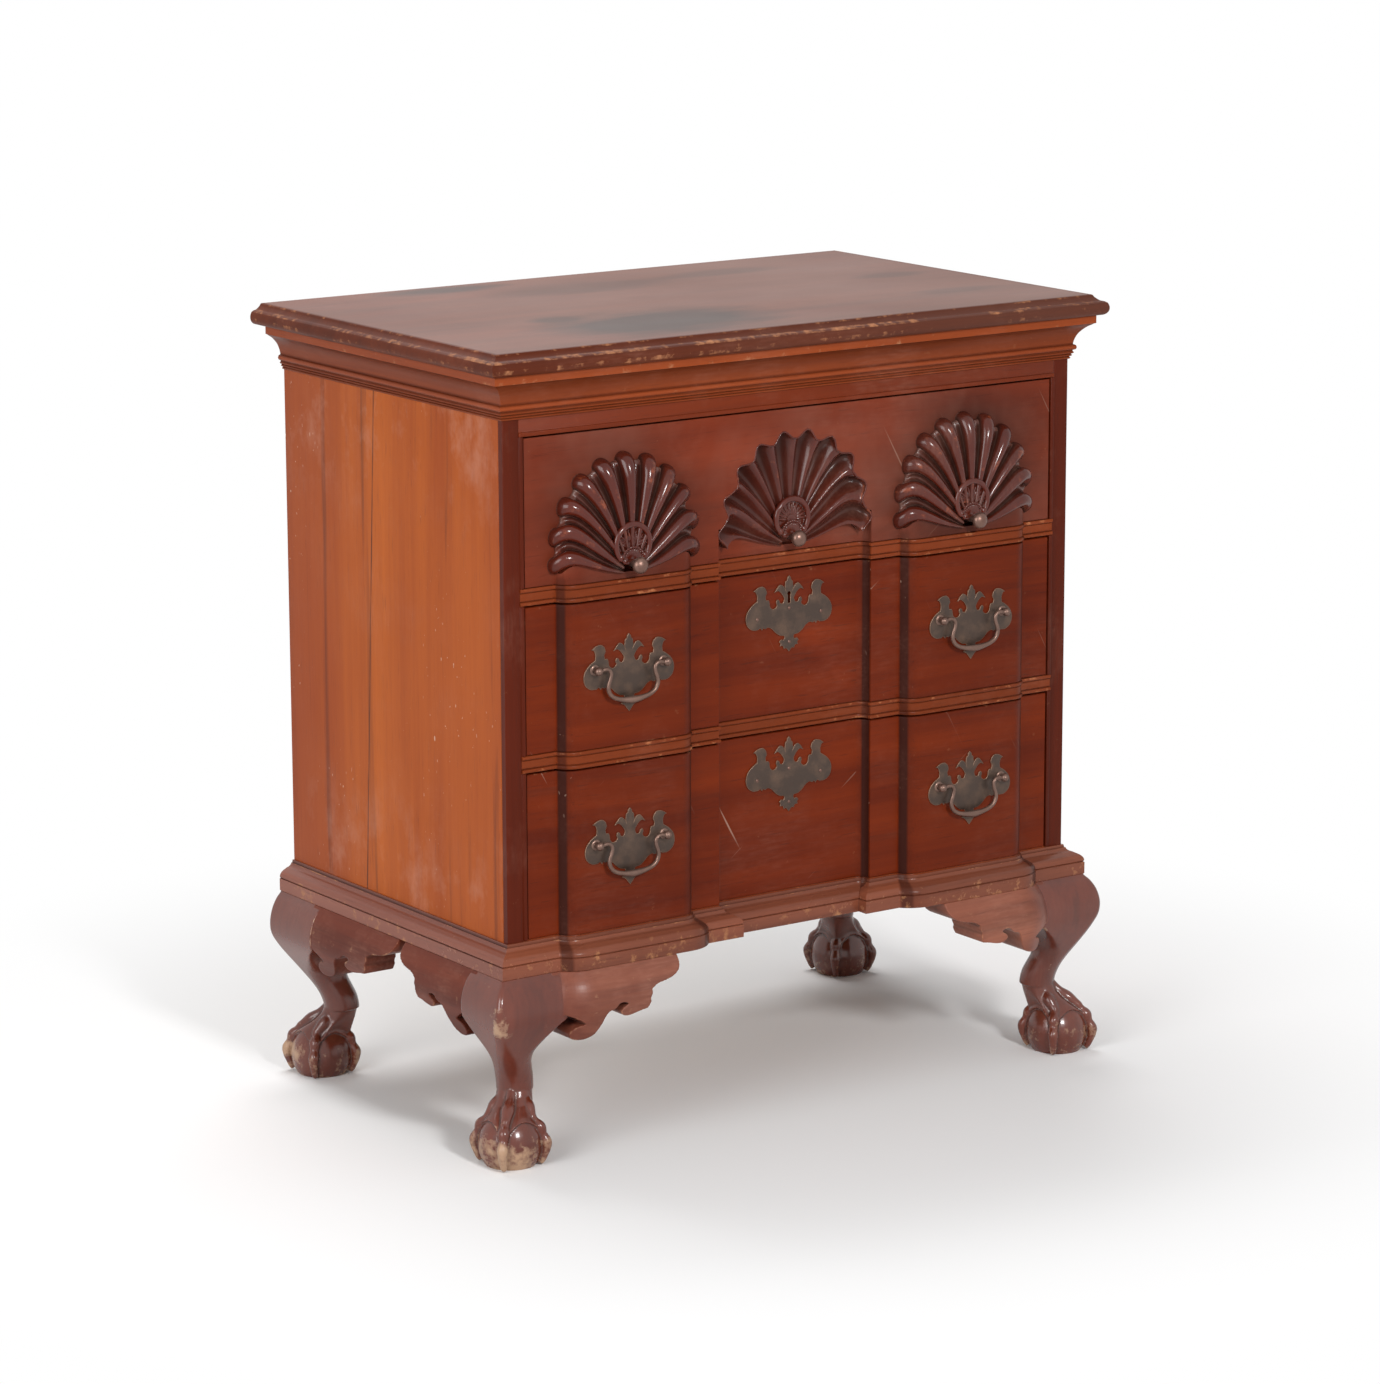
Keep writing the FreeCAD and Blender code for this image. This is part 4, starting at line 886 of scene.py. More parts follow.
def carve_shell(name, center_x, radius, sunk):
    """Fan of lobes and valleys, closed at the back."""
    lines = shell_lines(radius, sunk)
    shares = [0.12 + 0.88 * (1 - (1 - t / 48) ** 2.2) for t in range(49)]
    back = SUNK_BACK if sunk else RAISED_BACK
    points, hollow, edge, tone = [], [], [], []
    for share in shares:
        for heading, reach, w, kind in lines:
            x, z = shell_point(heading, reach, share)
            points.append((center_x + x, -carved_height(share, w, kind), ROSETTE_Z + z))
            for marks, value in zip((hollow, edge, tone), carved_marks(share, w, kind)):
                marks.append(min(1.0, value))
    columns, count = len(lines), len(shares)
    faces = [(k * columns + i, k * columns + i + 1, (k + 1) * columns + i + 1, (k + 1) * columns + i)
             for k in range(count - 1) for i in range(columns - 1)]
    last = (count - 1) * columns
    border = list(range(columns)) + [k * columns + columns - 1 for k in range(1, count)]
    border += [last + i for i in range(columns - 2, -1, -1)] + [k * columns for k in range(count - 2, 0, -1)]
    start, total = len(points), len(border)
    for i in border:
        points.append((points[i][0], back, points[i][2]))
        hollow.append(0.6)
        edge.append(0.0)
        # painted shade on the back rim
        tone.append(0.8)
    faces += [(border[j], border[(j + 1) % total], start + (j + 1) % total, start + j) for j in range(total)]
    faces.append(tuple(start + j for j in range(total)))
    return turn_outwards(make_mesh(name, points, faces, hollow=hollow, edge=edge, tone=tone))


def shell_outline(radius, sunk, inset=0.0):
    """Outline of a carved fan as (x, z) about the rosette: along its rim and back along its lower edge."""
    lines = shell_lines(radius, sunk)
    rim = [shell_point(h, reach - inset, 1.0) for h, reach, _, _ in lines]
    right = [shell_point(lines[-1][0], lines[-1][1] - inset, 1 - t / 14) for t in range(1, 13)]
    left = [(-x, z) for x, z in reversed(right)]
    return rim + right + left


def make_rosette(center_x, face_y):
    """Arched rolled rim with a fan of ribs and a smaller beaded fan inside."""
    arch_radius = ROSETTE_RADIUS - 2.6
    arch, thick = [], []
    for k in range(ARCH_STEPS + 1):
        t = math.radians(-138 + 276 * k / ARCH_STEPS)
        x, z = center_x + arch_radius * math.sin(t), ROSETTE_Z - 1 + arch_radius * math.cos(t)
        arch.append((x, face_y - 4.2, z))
        thick.append(2.5 + 0.9 * math.cos((2 * k / ARCH_STEPS - 1) * 1.3))
    parts = [join_rings(tube(arch, thick, 14))]
    for side in (-1, 1):
        for off, proud, drop, radii in ((14.8, 4.6, 14.0, (3.9, 3.4, 3.9)),
                                        (9.6, 4.2, 18.0, (3.2, 3.0, 3.2))):
            middle = (center_x + side * off, face_y - proud, ROSETTE_Z - drop)
            parts.append(ball(middle, radii, rings=10, sides=16))
    r = ROSETTE_RADIUS
    dish = lathe([(r - 2, -6), (r - 2, 1.0), (r - 6, 1.6), (6, 2.6), (0.5, 2.8)],
                 (center_x, face_y, ROSETTE_Z - 1), 40)
    parts.append(join_rings(dish))
    for turn in turns(-80, 81, 16):
        middle = (center_x + 12.4 * math.sin(turn), face_y - 2.2, ROSETTE_Z - 4 + 12.0 * math.cos(turn))
        parts.append(ball(middle, (1.5, 2.4, 6.6), Matrix.Rotation(turn, 3, "Y"), 8, 10))
    x, y, z = center_x, face_y - 4.4, ROSETTE_Z - 16.0
    for turn in turns(-84, 85, 14):
        rib = (x + 6.6 * math.sin(turn), y, z + 6.0 * math.cos(turn))
        bead = (x + 13.0 * math.sin(turn), y - 0.8, z + 11.8 * math.cos(turn))
        parts.append(ball(rib, (1.15, 1.6, 6.2), Matrix.Rotation(turn, 3, "Y"), 8, 8))
        parts.append(ball(bead, (1.45, 1.6, 1.7), Matrix.Rotation(turn, 3, "Y"), 8, 10))
    parts.append(ball((center_x, face_y - 1.5, ROSETTE_Z - 14.0), (12.0, 3.6, 9.0), rings=10, sides=20))
    return turn_outwards(make_mesh("rosette", *gather(parts)))


def dress_shells():
    """Three carvings, each with its rosette, and the lip round the sunk one."""
    for name, center_x, radius, sunk in (("shell_left", -BLOCK_CENTER, SHELL_RADIUS, False),
                                         ("shell_center", 0.0, SUNK_RADIUS, True),
                                         ("shell_right", BLOCK_CENTER, SHELL_RADIUS, False)):
        fan = carve_shell(name + "_carving", center_x, radius, sunk)
        add_piece(name + "_carving", fan, "upper_drawer", shell_wood, name, smooth=50)
        face_y = -14.5 if not sunk else 11.0
        rosette = carve_soft(make_rosette(center_x, face_y), 0.5, 1)
        mark_curvature(rosette, 0.25)
        add_piece(name + "_rosette", rosette, "upper_drawer", shell_wood, smooth=60, slot=slot_of[name])
    rim = [shell_point(heading, reach, 1.0) for heading, reach, _, _ in shell_lines(SUNK_RADIUS, True)]
    lip = join_rings(tube([(x, 0.2, ROSETTE_Z + z) for x, z in rim], [0.9] * len(rim), 8))
    mesh = turn_outwards(make_mesh("lip", *lip, edge=[0.6] * len(lip[0])))
    add_piece("shell_center_lip", mesh, "upper_drawer", shell_wood, smooth=60, slot=slot_of["shell_center"])


# ---------------------------------------------------------------- case
def dress_board(node_name, material, soften=0.8):
    """The node's own shape with its arrises softened."""
    source = frame["nodes"][node_name]
    mesh = turn_outwards(source.data.copy())
    form = bmesh.new()
    form.from_mesh(mesh)
    bmesh.ops.dissolve_limit(form, angle_limit=math.radians(1), verts=form.verts, edges=form.edges)
    form.to_mesh(mesh)
    form.free()
    piece = add_piece(node_name + "_board", mesh, body_of[node_name], material, node_name)
    step = piece.modifiers.new("arris", "BEVEL")
    step.width = soften * MM
    step.segments = 2
    step.limit_method = "ANGLE"
    step.angle_limit = math.radians(40)
    return piece


def top_marks(g, h):
    """Wear and painted shade of the top at a projection and a height; the painted shade darkens the moulded
    edge and keeps the bloom off it.
    """
    flat = g < TOP_NOSE - 17
    # painted shade on the whole moulded edge
    tone = 0.0 if flat and h > 21 else 1.0
    if flat:
        return 0.0, tone
    if 13.5 < h < 16.2:
        return 1.0, tone
    return 0.7 if h > 20.5 or 3 < h < 7 else 0.2, tone


def top_board():
    """Top with its moulded edge on the front and both ends."""
    n = TOP_NOSE
    edge = bend_runs([[(n - 14, 0), (n - 5, 0.3), (n - 0.8, 4), (n, 9), (n - 1.4, 13.2), (n - 3.6, 14.8)],
                      [(n - 3.6, 14.8), (n - 4.6, 15.2)],
                      [(n - 4.6, 15.2), (n - 7.5, 16.0), (n - 11.2, 19.0), (n - 12.9, 21.4), (n - 13.9, 22)],
                      [(n - 13.9, 22), (n - 19, 22)]], 5)
    back = high("top_board", "y") - front_plane
    rings, edges, shade_and_toning_values = [], [], []
    for corner in range(4):
        ring = []
        for g, h in edge:
            x = (HALF_CASE + g) * (-1 if corner in (0, 1) else 1)
            y = -g - 1.0 * (g / TOP_NOSE) if corner in (1, 2) else back
            ring.append((x, y, CASE_TOP + h))
            wear, tone = top_marks(g, h)
            edges.append(wear)
            shade_and_toning_values.append(tone)
        rings.append(ring)
    points, faces = join_rings(rings, closed=False, caps=False)
    count = len(edge)
    faces.append(tuple(range(count)) + tuple(reversed(range(3 * count, 4 * count))))
    faces.append(tuple(k * count + count - 1 for k in range(4)))
    faces.append(tuple(k * count for k in range(4)))
    mesh = turn_outwards(make_mesh("top_board_edge", points, faces, edge=edges, tone=shade_and_toning_values))
    add_piece("top_board_molded", mesh, "case", top_wood, "top_board", smooth=30)


def cornice_profile():
    """Cornice from its foot up: reeds, bead, cove and fillet, as (projection, height, mark): wear above zero,
    painted shade below.
    """
    foot, p = low("cornice_front", "z"), CORNICE_PROJECTION
    runs = [[(0, 0), (1.0, 0)], [(1.0, 0), (2.0, 1.0), (1.0, 2.6)], [(1.0, 2.6), (3.2, 3.8), (2.3, 5.4)],
            [(2.3, 5.4), (4.6, 6.8), (3.6, 8.6)], [(3.6, 8.6), (3.6, 9.6)],
            [(3.6, 9.6), (5.9, 10.6), (6.7, 12.8), (5.9, 15.0), (4.0, 15.9)], [(4.0, 15.9), (3.8, 16.8)],
            [(3.8, 16.8), (4.9, 21.5), (7.8, 28.0), (13.2, 34.2), (18.2, 37.6), (p - 1.6, 38.7)],
            [(p - 1.6, 38.7), (p, 39.2)], [(p, 39.2), (p, CASE_TOP - foot)]]
    line = bend_runs(runs, 5)
    heights = (0, 1, 2.6, 3.8, 5.4, 6.8, 9, 12.8, 16.4, 18, 26, 37, 38.7, 39.2, 39.6, CASE_TOP - foot)
    # painted shade in the grooves and down the cove, wear on the bead and the fillet
    marks = (GROOVE, -0.2, GROOVE, -0.2, GROOVE, -0.2, GROOVE, 0.3, GROOVE, -0.3, -0.55, -0.8, GROOVE, 0.7,
             0, 0)
    return [(g, foot + h, float(np.interp(h, heights, marks))) for g, h in line]


def base_profile():
    """Base moulding from its foot up: band, quirk and ogee."""
    foot, p = LEG_HEIGHT, BASE_PROJECTION
    runs = [[(p - 0.5, 0), (p, 0.6)], [(p, 0.6), (p, 13.0)], [(p, 13.0), (p - 0.3, 13.6)],
            [(p - 1.2, 13.9), (p - 1.2, 14.6)],
            [(p - 0.2, 15.0), (p - 0.9, 18.0), (p - 3.4, 21.0), (p - 7.2, 23.2), (9.0, 24.4)],
            [(9.0, 24.4), (6.2, 25.4), (4.2, 27.2), (3.5, 28.8)], [(3.5, 28.8), (2.4, 29.0)],
            [(2.4, 29.0), (1.8, BASE_TOP - foot)]]
    wear = {13.0: 0.7, 15.0: 0.55, 16.0: 0.55, 0.6: 0.8, 28.8: 0.9}
    profile = []
    for g, h in bend_runs(runs, 5):
        # painted shade in the quirks
        grooved = 13.5 < h < 14.9 or 28.9 < h < 29.5
        worn = max([w for at, w in wear.items() if abs(h - at) < 0.9], default=0.2)
        profile.append((g, foot + h, GROOVE if grooved else worn))
    return profile


def profile_marks(profile):
    """Marks for a length with the profile at both ends."""
    marks = [m for _, _, m in profile] * 2
    return {"edge": [max(0.0, m) for m in marks], "tone": [max(0.0, -m) for m in marks]}


def mitred_lengths(stem, profile, front_material, side_material, front_mesh=None):
    """Front length and two returns of a moulding."""
    closed = [(0, profile[0][1], 0)] + profile + [(0, profile[-1][1], 0)]
    if front_mesh is None:
        rings = [[(side * (HALF_CASE + g), -g, z) for g, z, _ in closed] for side in (-1, 1)]
        front_mesh = turn_outwards(make_mesh(stem, *join_rings(rings), **profile_marks(closed)))
    add_piece(stem + "_front_run", front_mesh, "case", front_material, stem + "_front", smooth=28)
    for side, word in SIDES:
        rings = [[(side * (HALF_CASE + g), CASE_DEPTH if rear else -g, z) for g, z, _ in closed]
                 for rear in (False, True)]
        mesh = turn_outwards(make_mesh(stem, *join_rings(rings), **profile_marks(closed)))
        add_piece("%s_%s_run" % (stem, word), mesh, "case", side_material, "%s_%s" % (stem, word), smooth=28)


def bolt_mortise():
    """Space in the rail above the lock, into which the bolt rises."""
    clear = BOLT_CLEARANCE
    x0, x1 = low("lock_bolt", "x") - clear, high("lock_bolt", "x") + clear
    y0, y1 = low("lock_bolt", "y") - front_plane - clear, high("lock_bolt", "y") - front_plane + clear
    z0, z1 = low("drawer_rail_upper", "z") - 1, high("lock_bolt", "z") + BOLT_THROW + 1 + clear
    return flat_form("mortise", [(x0, z0), (x1, z0), (x1, z1), (x0, z1)], y0, y1)


def dress_case():
    """Case boards, top, mouldings and rails."""
    for side in ("left", "right"):
        dress_board("side_panel_" + side, side_wood)
        dress_board("stile_" + side, stile_wood, 0.6)
    dress_board("top_rail", top_rail_wood, 0.7)
    top_board()
    mitred_lengths("cornice", cornice_profile(), cornice_wood, cornice_side_wood)
    base = blocked_form("base", base_profile(), HALF_CASE, mitre=1.0)
    mitred_lengths("base_molding", base_profile(), base_wood, base_side_wood, base)
    for name in ("drawer_rail_upper", "drawer_rail_lower"):
        mesh = blocked_form(name, rail_profile(low(name, "z"), high(name, "z")), INNER_SIDE, RAIL_DEPTH)
        if name == "drawer_rail_upper":
            mesh = combine(mesh, bolt_mortise())
        add_piece(name + "_beaded", mesh, "case", rail_wood, name)
    sill = [(0, LEG_HEIGHT + 1, 0), (0, BASE_TOP, 0.3), (-0.6, high("bottom_rail", "z"), 0.6)]
    mesh = blocked_form("sill", sill, INNER_SIDE, RAIL_DEPTH)
    add_piece("bottom_rail_sill", mesh, "case", rail_wood, "bottom_rail")


# ---------------------------------------------------------------- drawer fronts
def keyhole(z, radius, slot, drop):
    """Outline of a keyhole: a round with a slot below it."""
    upper = [(radius * math.cos(t), z + 4 + radius * math.sin(t)) for t in turns(-50, 231, 20)]
    return upper + [(-slot, z - drop), (slot, z - drop)]


def tail_sockets(front, back):
    """Sockets for the tails of the drawer sides, in both ends of a front whose rear face is at `back`."""
    sides = front.replace("front", "sides")
    pitch = (high(sides, "z") - low(sides, "z")) / TAIL_COUNT
    root = 0.3 * pitch - TAIL_SLOPE / 2
    tip = root + TAIL_SLOPE
    sockets = []
    for end in (-1, 1):
        for k in range(TAIL_COUNT):
            z = low(sides, "z") + (k + 0.5) * pitch
            shape = [(back + 1, z - root), (back - TAIL_LENGTH, z - tip),
                     (back - TAIL_LENGTH, z + tip), (back + 1, z + root)]
            rings = [[(end * x, y, z) for y, z in shape] for x in (DRAWER_HALF - SIDE_WALL, DRAWER_HALF + 1)]
            sockets.append(join_rings(rings))
    return turn_outwards(make_mesh("sockets", *gather(sockets)))


def dress_drawers():
    """Blocked fronts of the three drawers, with sockets for their sides."""
    for name in ("middle_drawer_front", "lower_drawer_front"):
        z0, z1 = low(name, "z"), high(name, "z")
        back = high(name, "y") - front_plane
        mesh = blocked_form(name, board_profile(z0, z1), DRAWER_HALF, back)
        if name.startswith("middle"):
            mesh = combine(mesh, flat_form("keyhole", keyhole(KEYHOLE_Z, 2.6, 1.9, 6.5), 0, 60))
        mesh = combine(mesh, tail_sockets(name, back))
        add_piece(name + "_blocked", mesh, body_of[name], drawer_wood, name)
    name = "upper_drawer_front"
    z0, z1, back = low(name, "z"), high(name, "z"), high(name, "y") - front_plane
    mesh = blocked_form(name, board_profile(z0, z0 + 2 * (ROSETTE_Z - z0)), DRAWER_HALF, back)
    foot = ROSETTE_Z - 2  # of the flat face, above the blocks
    mesh = combine(mesh, board("trim", -500, 500, -60, 60, foot, z1 + 200))
    flat = [(-DRAWER_HALF, foot), (DRAWER_HALF, foot), (DRAWER_HALF, z1), (-DRAWER_HALF, z1)]
    for center_x in (-BLOCK_CENTER, BLOCK_CENTER):
        outline = [(center_x + x, ROSETTE_Z + z) for x, z in shell_outline(SHELL_RADIUS, False, 3.0)]
        mesh = combine(mesh, flat_form("above", outline, -60, 0))
    mesh = combine(mesh, flat_form("flat", flat, 0, back), "UNION")
    outline = [(x, ROSETTE_Z + z) for x, z in shell_outline(SUNK_RADIUS, True)]
    mesh = combine(mesh, flat_form("pocket", outline, -5, POCKET_DEPTH))
    mesh = combine(mesh, tail_sockets(name, back))
    add_piece(name + "_panel", mesh, "upper_drawer", panel_wood, name)


# ---------------------------------------------------------------- hardware
def plate_half(foot):
    """Right half of a bat-wing plate as (x, z) about its line, from the finial down to the foot."""
    runs = [[(0, 41), (2.2, 38.6), (2.4, 36.4)], [(2.4, 36.4), (4.6, 34.6), (5.0, 31.2)],
            [(5.0, 31.2), (5.6, 29.0), (5.0, 26.5)],
            [(5.0, 26.5), (7.5, 30.6), (11.5, 32.2), (15.0, 29.5), (19.0, 24.4)],
            [(19.0, 24.4), (14.5, 26.0), (10.5, 23.5), (7.6, 19.8)],
            [(7.6, 19.8), (6.2, 16.6), (8.2, 12.4), (11.5, 13.0), (12.6, 15.8), (15.2, 16.8), (16.6, 14.0),
             (15.6, 10.8), (17.6, 8.2), (21.0, 7.4), (24.2, 10.0), (25.2, 15.0)],
            [(25.2, 15.0), (26.4, 17.4), (29.4, 17.6)],
            [(29.4, 17.6), (30.2, 21.5), (28.6, 25.4), (30.0, 30.0)],
            [(30.0, 30.0), (34.0, 32.8), (40.0, 32.0), (45.6, 28.6)],
            [(45.6, 28.6), (42.8, 27.6), (40.9, 23.0), (41.3, 17.6)],
            [(41.3, 17.6), (48.0, 13.4), (53.4, 7.4), (55.4, 0.0), (53.2, -7.6), (47.0, -12.2),
             (40.0, -12.6)],
            [(40.0, -12.6), (37.0, -11.2), (34.6, -13.6)],
            [(34.6, -13.6), (33.0, -11.6), (30.5, -12.6), (27.0, -11.4), (22.0, -13.6), (17.5, -18.0),
             (12.0, -21.6), (6.6, -22.4)]]
    if foot == "leaf":
        runs += [[(6.6, -22.4), (5.8, -24.6), (7.4, -27.0)], [(7.4, -27.0), (10.0, -26.2), (12.6, -28.6)],
                 [(12.6, -28.6), (10.8, -30.4), (11.6, -33.2)], [(11.6, -33.2), (8.0, -33.4), (6.4, -36.6)],
                 [(6.4, -36.6), (3.4, -36.2), (0, -PLATE_DROP)]]
    else:
        runs += [[(6.6, -22.4), (5.4, -26.0), (7.2, -29.0), (10.4, -31.0)],
                 [(10.4, -31.0), (6.0, -33.0), (3.0, -36.4), (0, -PLATE_DROP)]]
    return bend_runs(runs, 4)


def make_plate(center_x, face_y, line_z, foot, holes=()):
    """Flat cast plate with rounded edges, as a mesh."""
    half = plate_half(foot)
    outline = half + [(-x, z) for x, z in reversed(half[1:-1])]
    curve = bpy.data.curves.new("plate", "CURVE")
    curve.dimensions, curve.fill_mode = "2D", "BOTH"
    curve.extrude, curve.bevel_depth, curve.bevel_resolution = 0.25 * MM, 0.5 * MM, 2
    curve.offset = -0.5 * MM
    for ring in (outline, *holes):
        spline = curve.splines.new("POLY")
        spline.points.add(len(ring) - 1)
        for point, (x, z) in zip(spline.points, ring):
            point.co = (x * MM, z * MM, 0, 1)
        spline.use_cyclic_u = True
    mesh = evaluated_mesh(new_object("plate", curve))
    middle = (center_x * MM, (face_y - PLATE_THICK / 2 + front_plane) * MM, line_z * MM)
    mesh.transform(Matrix.Translation(middle) @ Matrix.Rotation(math.pi / 2, 4, "X"))
    turn_outwards(mesh)
    front = (face_y - PLATE_THICK + front_plane) * MM
    set_mark(mesh, "edge", [0.0 if abs(v.co.y - front) < 0.05 * MM else 1.0 for v in mesh.vertices])
    return mesh


def nail_heads():
    """Geometry nodes that set domed nail heads on the points of a mesh."""
    tree = bpy.data.node_groups.new("nail heads", "GeometryNodeTree")
    sockets = (("Points", "Geometry"), ("Radius", "Float"), ("Height", "Float"), ("Metal", "Material"))
    for label, kind in sockets:
        tree.interface.new_socket(label, in_out="INPUT", socket_type="NodeSocket" + kind)
    tree.interface.new_socket("Heads", in_out="OUTPUT", socket_type="NodeSocketGeometry")
    given = tree.nodes.new("NodeGroupInput").outputs
    dome = node(tree, "GeometryNodeMeshUVSphere", {"Segments": 14, "Rings": 8, "Radius": 1.0}).outputs["Mesh"]
    radii = {"X": given["Radius"], "Y": given["Height"], "Z": given["Radius"]}
    small = stretch(tree, node(tree, "ShaderNodeCombineXYZ", radii).outputs[0], (MM, MM, MM))
    shaped = node(tree, "GeometryNodeTransform", {"Geometry": dome, "Scale": small}).outputs[0]
    placed = node(tree, "GeometryNodeInstanceOnPoints", {"Points": given["Points"], "Instance": shaped})
    real = node(tree, "GeometryNodeRealizeInstances", {"Geometry": placed.outputs[0]}).outputs[0]
    finished = node(tree, "GeometryNodeSetMaterial", {"Geometry": real, "Material": given["Metal"]})
    tree.links.new(finished.outputs[0], tree.nodes.new("NodeGroupOutput").inputs[0])
    return tree


nail_tree = nail_heads()


def set_heads(name, points, body, radius, height, material, slot):
    """Nail heads on a body at the given places."""
    obj = scratch_object(make_mesh(name, points, []))
    step = obj.modifiers.new("heads", "NODES")
    step.node_group = nail_tree
    for label, value in (("Radius", radius), ("Height", height), ("Metal", material)):
        socket = next(s for s in nail_tree.interface.items_tree if s.name == label and s.in_out == "INPUT")
        step[socket.identifier] = value
    add_piece(name, evaluated_mesh(obj), body, material, smooth=60, slot=slot)


def make_bail(center_x, face_y, pivot_z):
    """Swan-necked bail with a swelling at the middle of its grip."""
    y = face_y - PIVOT_STANDOFF
    half = [(POST_SPACING / 2 + 1.5, 0, 2.0), (38.5, 0.2, 2.0), (34.0, 1.2, 2.1), (29.6, 0.2, 2.1),
            (27.0, -3.6, 2.1), (27.6, -9.0, 2.15), (29.8, -15.0, 2.2), (30.2, -20.5, 2.3), (27.2, -26.4, 2.3),
            (21.0, -30.4, 2.4), (13.0, -32.6, 2.7), (6.0, -33.6, 3.3)]
    path = bend(half + [(0, -34.0, 3.6)] + [(-x, z, r) for x, z, r in reversed(half)], 5)
    rings = tube([(center_x + x, y, pivot_z + z) for x, z, _ in path], [r for _, _, r in path], 14)
    return mark_curvature(turn_outwards(make_mesh("bail", *join_rings(rings))), 0.6, 1)


def make_post(center_x, face_y, pivot_z):
    """Turned post: collar on the plate, waist and round head."""
    s = PIVOT_STANDOFF
    profile = [(5.4, 0.8), (5.6, 1.6), (5.0, 2.3), (3.4, 2.6), (3.0, 3.4), (3.2, s - 4.6)]
    profile += [(max(4.6 * math.sin(t), 0.3), s - 4.6 * math.cos(t)) for t in turns(45, 181, 15)]
    return join_rings(lathe(profile, (center_x, face_y, pivot_z), 24))


def make_knob(center_x, root, reach):
    """Small turned knob on a long neck."""
    profile = [(3.6, 0), (3.4, reach - 15.0), (3.8, reach - 13.4)]
    profile += [(max(8.75 * math.sin(t), 0.3), reach - 6.6 - 6.6 * math.cos(t)) for t in turns(28, 181, 12)]
    return join_rings(lathe(profile, (center_x, root, KNOB_Z), 32))


def add_brass(name, parts, reach, body, brass, node_name):
    """Turned pieces joined in one mesh, marked and placed."""
    mesh = turn_outwards(make_mesh(name, *gather(parts)))
    add_piece(name, mark_curvature(mesh, reach, 1), body, brass, node_name, smooth=50)


def dress_hardware():
    """Plates, posts and bails, escutcheons with their nails, and the knobs."""
    face = -BLOCK_PROUD
    for drawer in ("middle", "lower"):
        body = drawer + "_drawer"
        plates = "pull_plates_" + drawer
        line = low(plates, "z") + PLATE_DROP
        pivot = line + PIVOT_RISE
        posts = []
        for side, word in SIDES:
            center = side * PULL_CENTER
            posts += [make_post(center + s * POST_SPACING / 2, face, pivot) for s in (-1, 1)]
            name = "bail_%s_%s" % (drawer, word)
            add_piece(name + "_bar", make_bail(center, face, pivot), name, bail_brass, name, smooth=60)
        for side, word in SIDES:
            mesh = make_plate(side * PULL_CENTER, face, line, "point")
            add_piece("pull_plate_%s_%s" % (drawer, word), mesh, body, plate_brass, plates, smooth=40)
        add_brass("pull_posts_%s_turned" % drawer, posts, 0.6, body, bail_brass, "pull_posts_" + drawer)
        name = "escutcheon_" + drawer
        line = low(name, "z") + PLATE_DROP
        holes = [keyhole(KEYHOLE_Z - line, 2.3, 1.6, 6.2)] if drawer == "middle" else []
        mesh = make_plate(0, RECESS_DEPTH, line, "leaf", holes)
        add_piece(name + "_plate", mesh, body, plate_brass, name, smooth=40)
        nails = [(x, RECESS_DEPTH - PLATE_THICK, line + z) for x, z in NAIL_PLACES]
        set_heads("escutcheon_nails_" + drawer, nails, body, 1.9, 0.8, knob_brass, slot_of[name])
    knobs = [make_knob(x, root, reach) for x, root, reach in
             ((-BLOCK_CENTER, -6.0, 33.0), (0.0, 14.0, 26.0), (BLOCK_CENTER, -6.0, 33.0))]
    add_brass("shell_knobs_turned", knobs, 0.8, "upper_drawer", knob_brass, "shell_knobs")


# ---------------------------------------------------------------- legs and brackets
def squared_ring(z, x0, x1, y0, y1, corner, joined, sides=12):
    """Level outline with rounded corners; the two corners beside the brackets have the radius `joined`."""
    most = 0.98 * min(x1 - x0, y1 - y0) / 2
    ring = []
    for k, r in enumerate(min(size, most) for size in (corner, joined, corner, joined)):
        cx = x0 + r if k in (1, 2) else x1 - r
        cy = y0 + r if k > 1 else y1 - r
        for j in range(sides):
            t = math.radians(90 * (k + j / (sides - 1)))
            ring.append((cx + r * math.cos(t), cy + r * math.sin(t), z))
    return ring


def along(stations, steps=8):
    """Smooth function of height through stations of (height, value), highest first."""
    line = bend(stations, steps)
    heights, values = [-z for z, _ in line], [v for _, v in line]
    return lambda z: float(np.interp(-z, heights, values))


# a leg in its own corner: x and y grow inwards from the corner of the base moulding
OUTER_CURVE = ((206, 0), (200, 0.3), (193, -5.6), (184, -10.6), (173, -13.8), (163, -KNEE_BULGE),
               (153, -13.2), (141, -9), (129, -3.6), (118, 1.6), (100, 10.4), (88, 14.8), (77, 17), (66, 17))
INNER_CURVE = ((206, 34), (200, 34), (158, 34), (153, 33), (147, 26), (138, 18.5), (129, 13.4), (118, 9.5),
               (108, 10.4), (98, 14), (88, 17.4), (77, 19), (66, 19))
ROUNDNESS = ((206, 3), (190, 4), (172, 6), (158, 8), (146, 11), (129, 14), (112, 18), (98, 19), (77, 19),
             (66, 19))
# a toe: distance from the ball's centre, height and half thickness, from the ankle to the claw
TOE = ((10.5, 84, 4.6), (11.5, 74, 5.0), (13.5, 66, 5.3), (18, 59, 6.8), (22, 52, 5.4), (26, 46, 5.0),
       (32, 40, 6.4), (35, 32.5, 4.9), (39, 25, 5.8), (39, 18, 4.8), (37, 12, 4.2), (34.5, 6, 3.7),
       (32, 2.5, 3.0))
ANKLE_RADIUS = 19.0
ANKLE_CENTER = 36.0
ANKLE_INSET = 17.0  # of the outer curve at the ankle
KNEE_WIDTH = 70.0
KNEE_INNER = 34.0  # of the inner curve at the knee
KNEE_CREST_Z = 163.0
NECK_INNER, NECK_Z = 9.5, 118.0  # where the inner curve is narrowest
FRONT_KNEE_DEPTH = 58.0
REAR_KNEE_DEPTH = 88.0
BALL_RADIUS, BALL_Z, BALL_HEIGHT = 33.5, 22.0, 36.0
WEB_TOP, WEB_ROOT, WEB_START = 49.0, 18.0, 82.0
LEG_RINGS, LEG_STEP = 101, 1.3


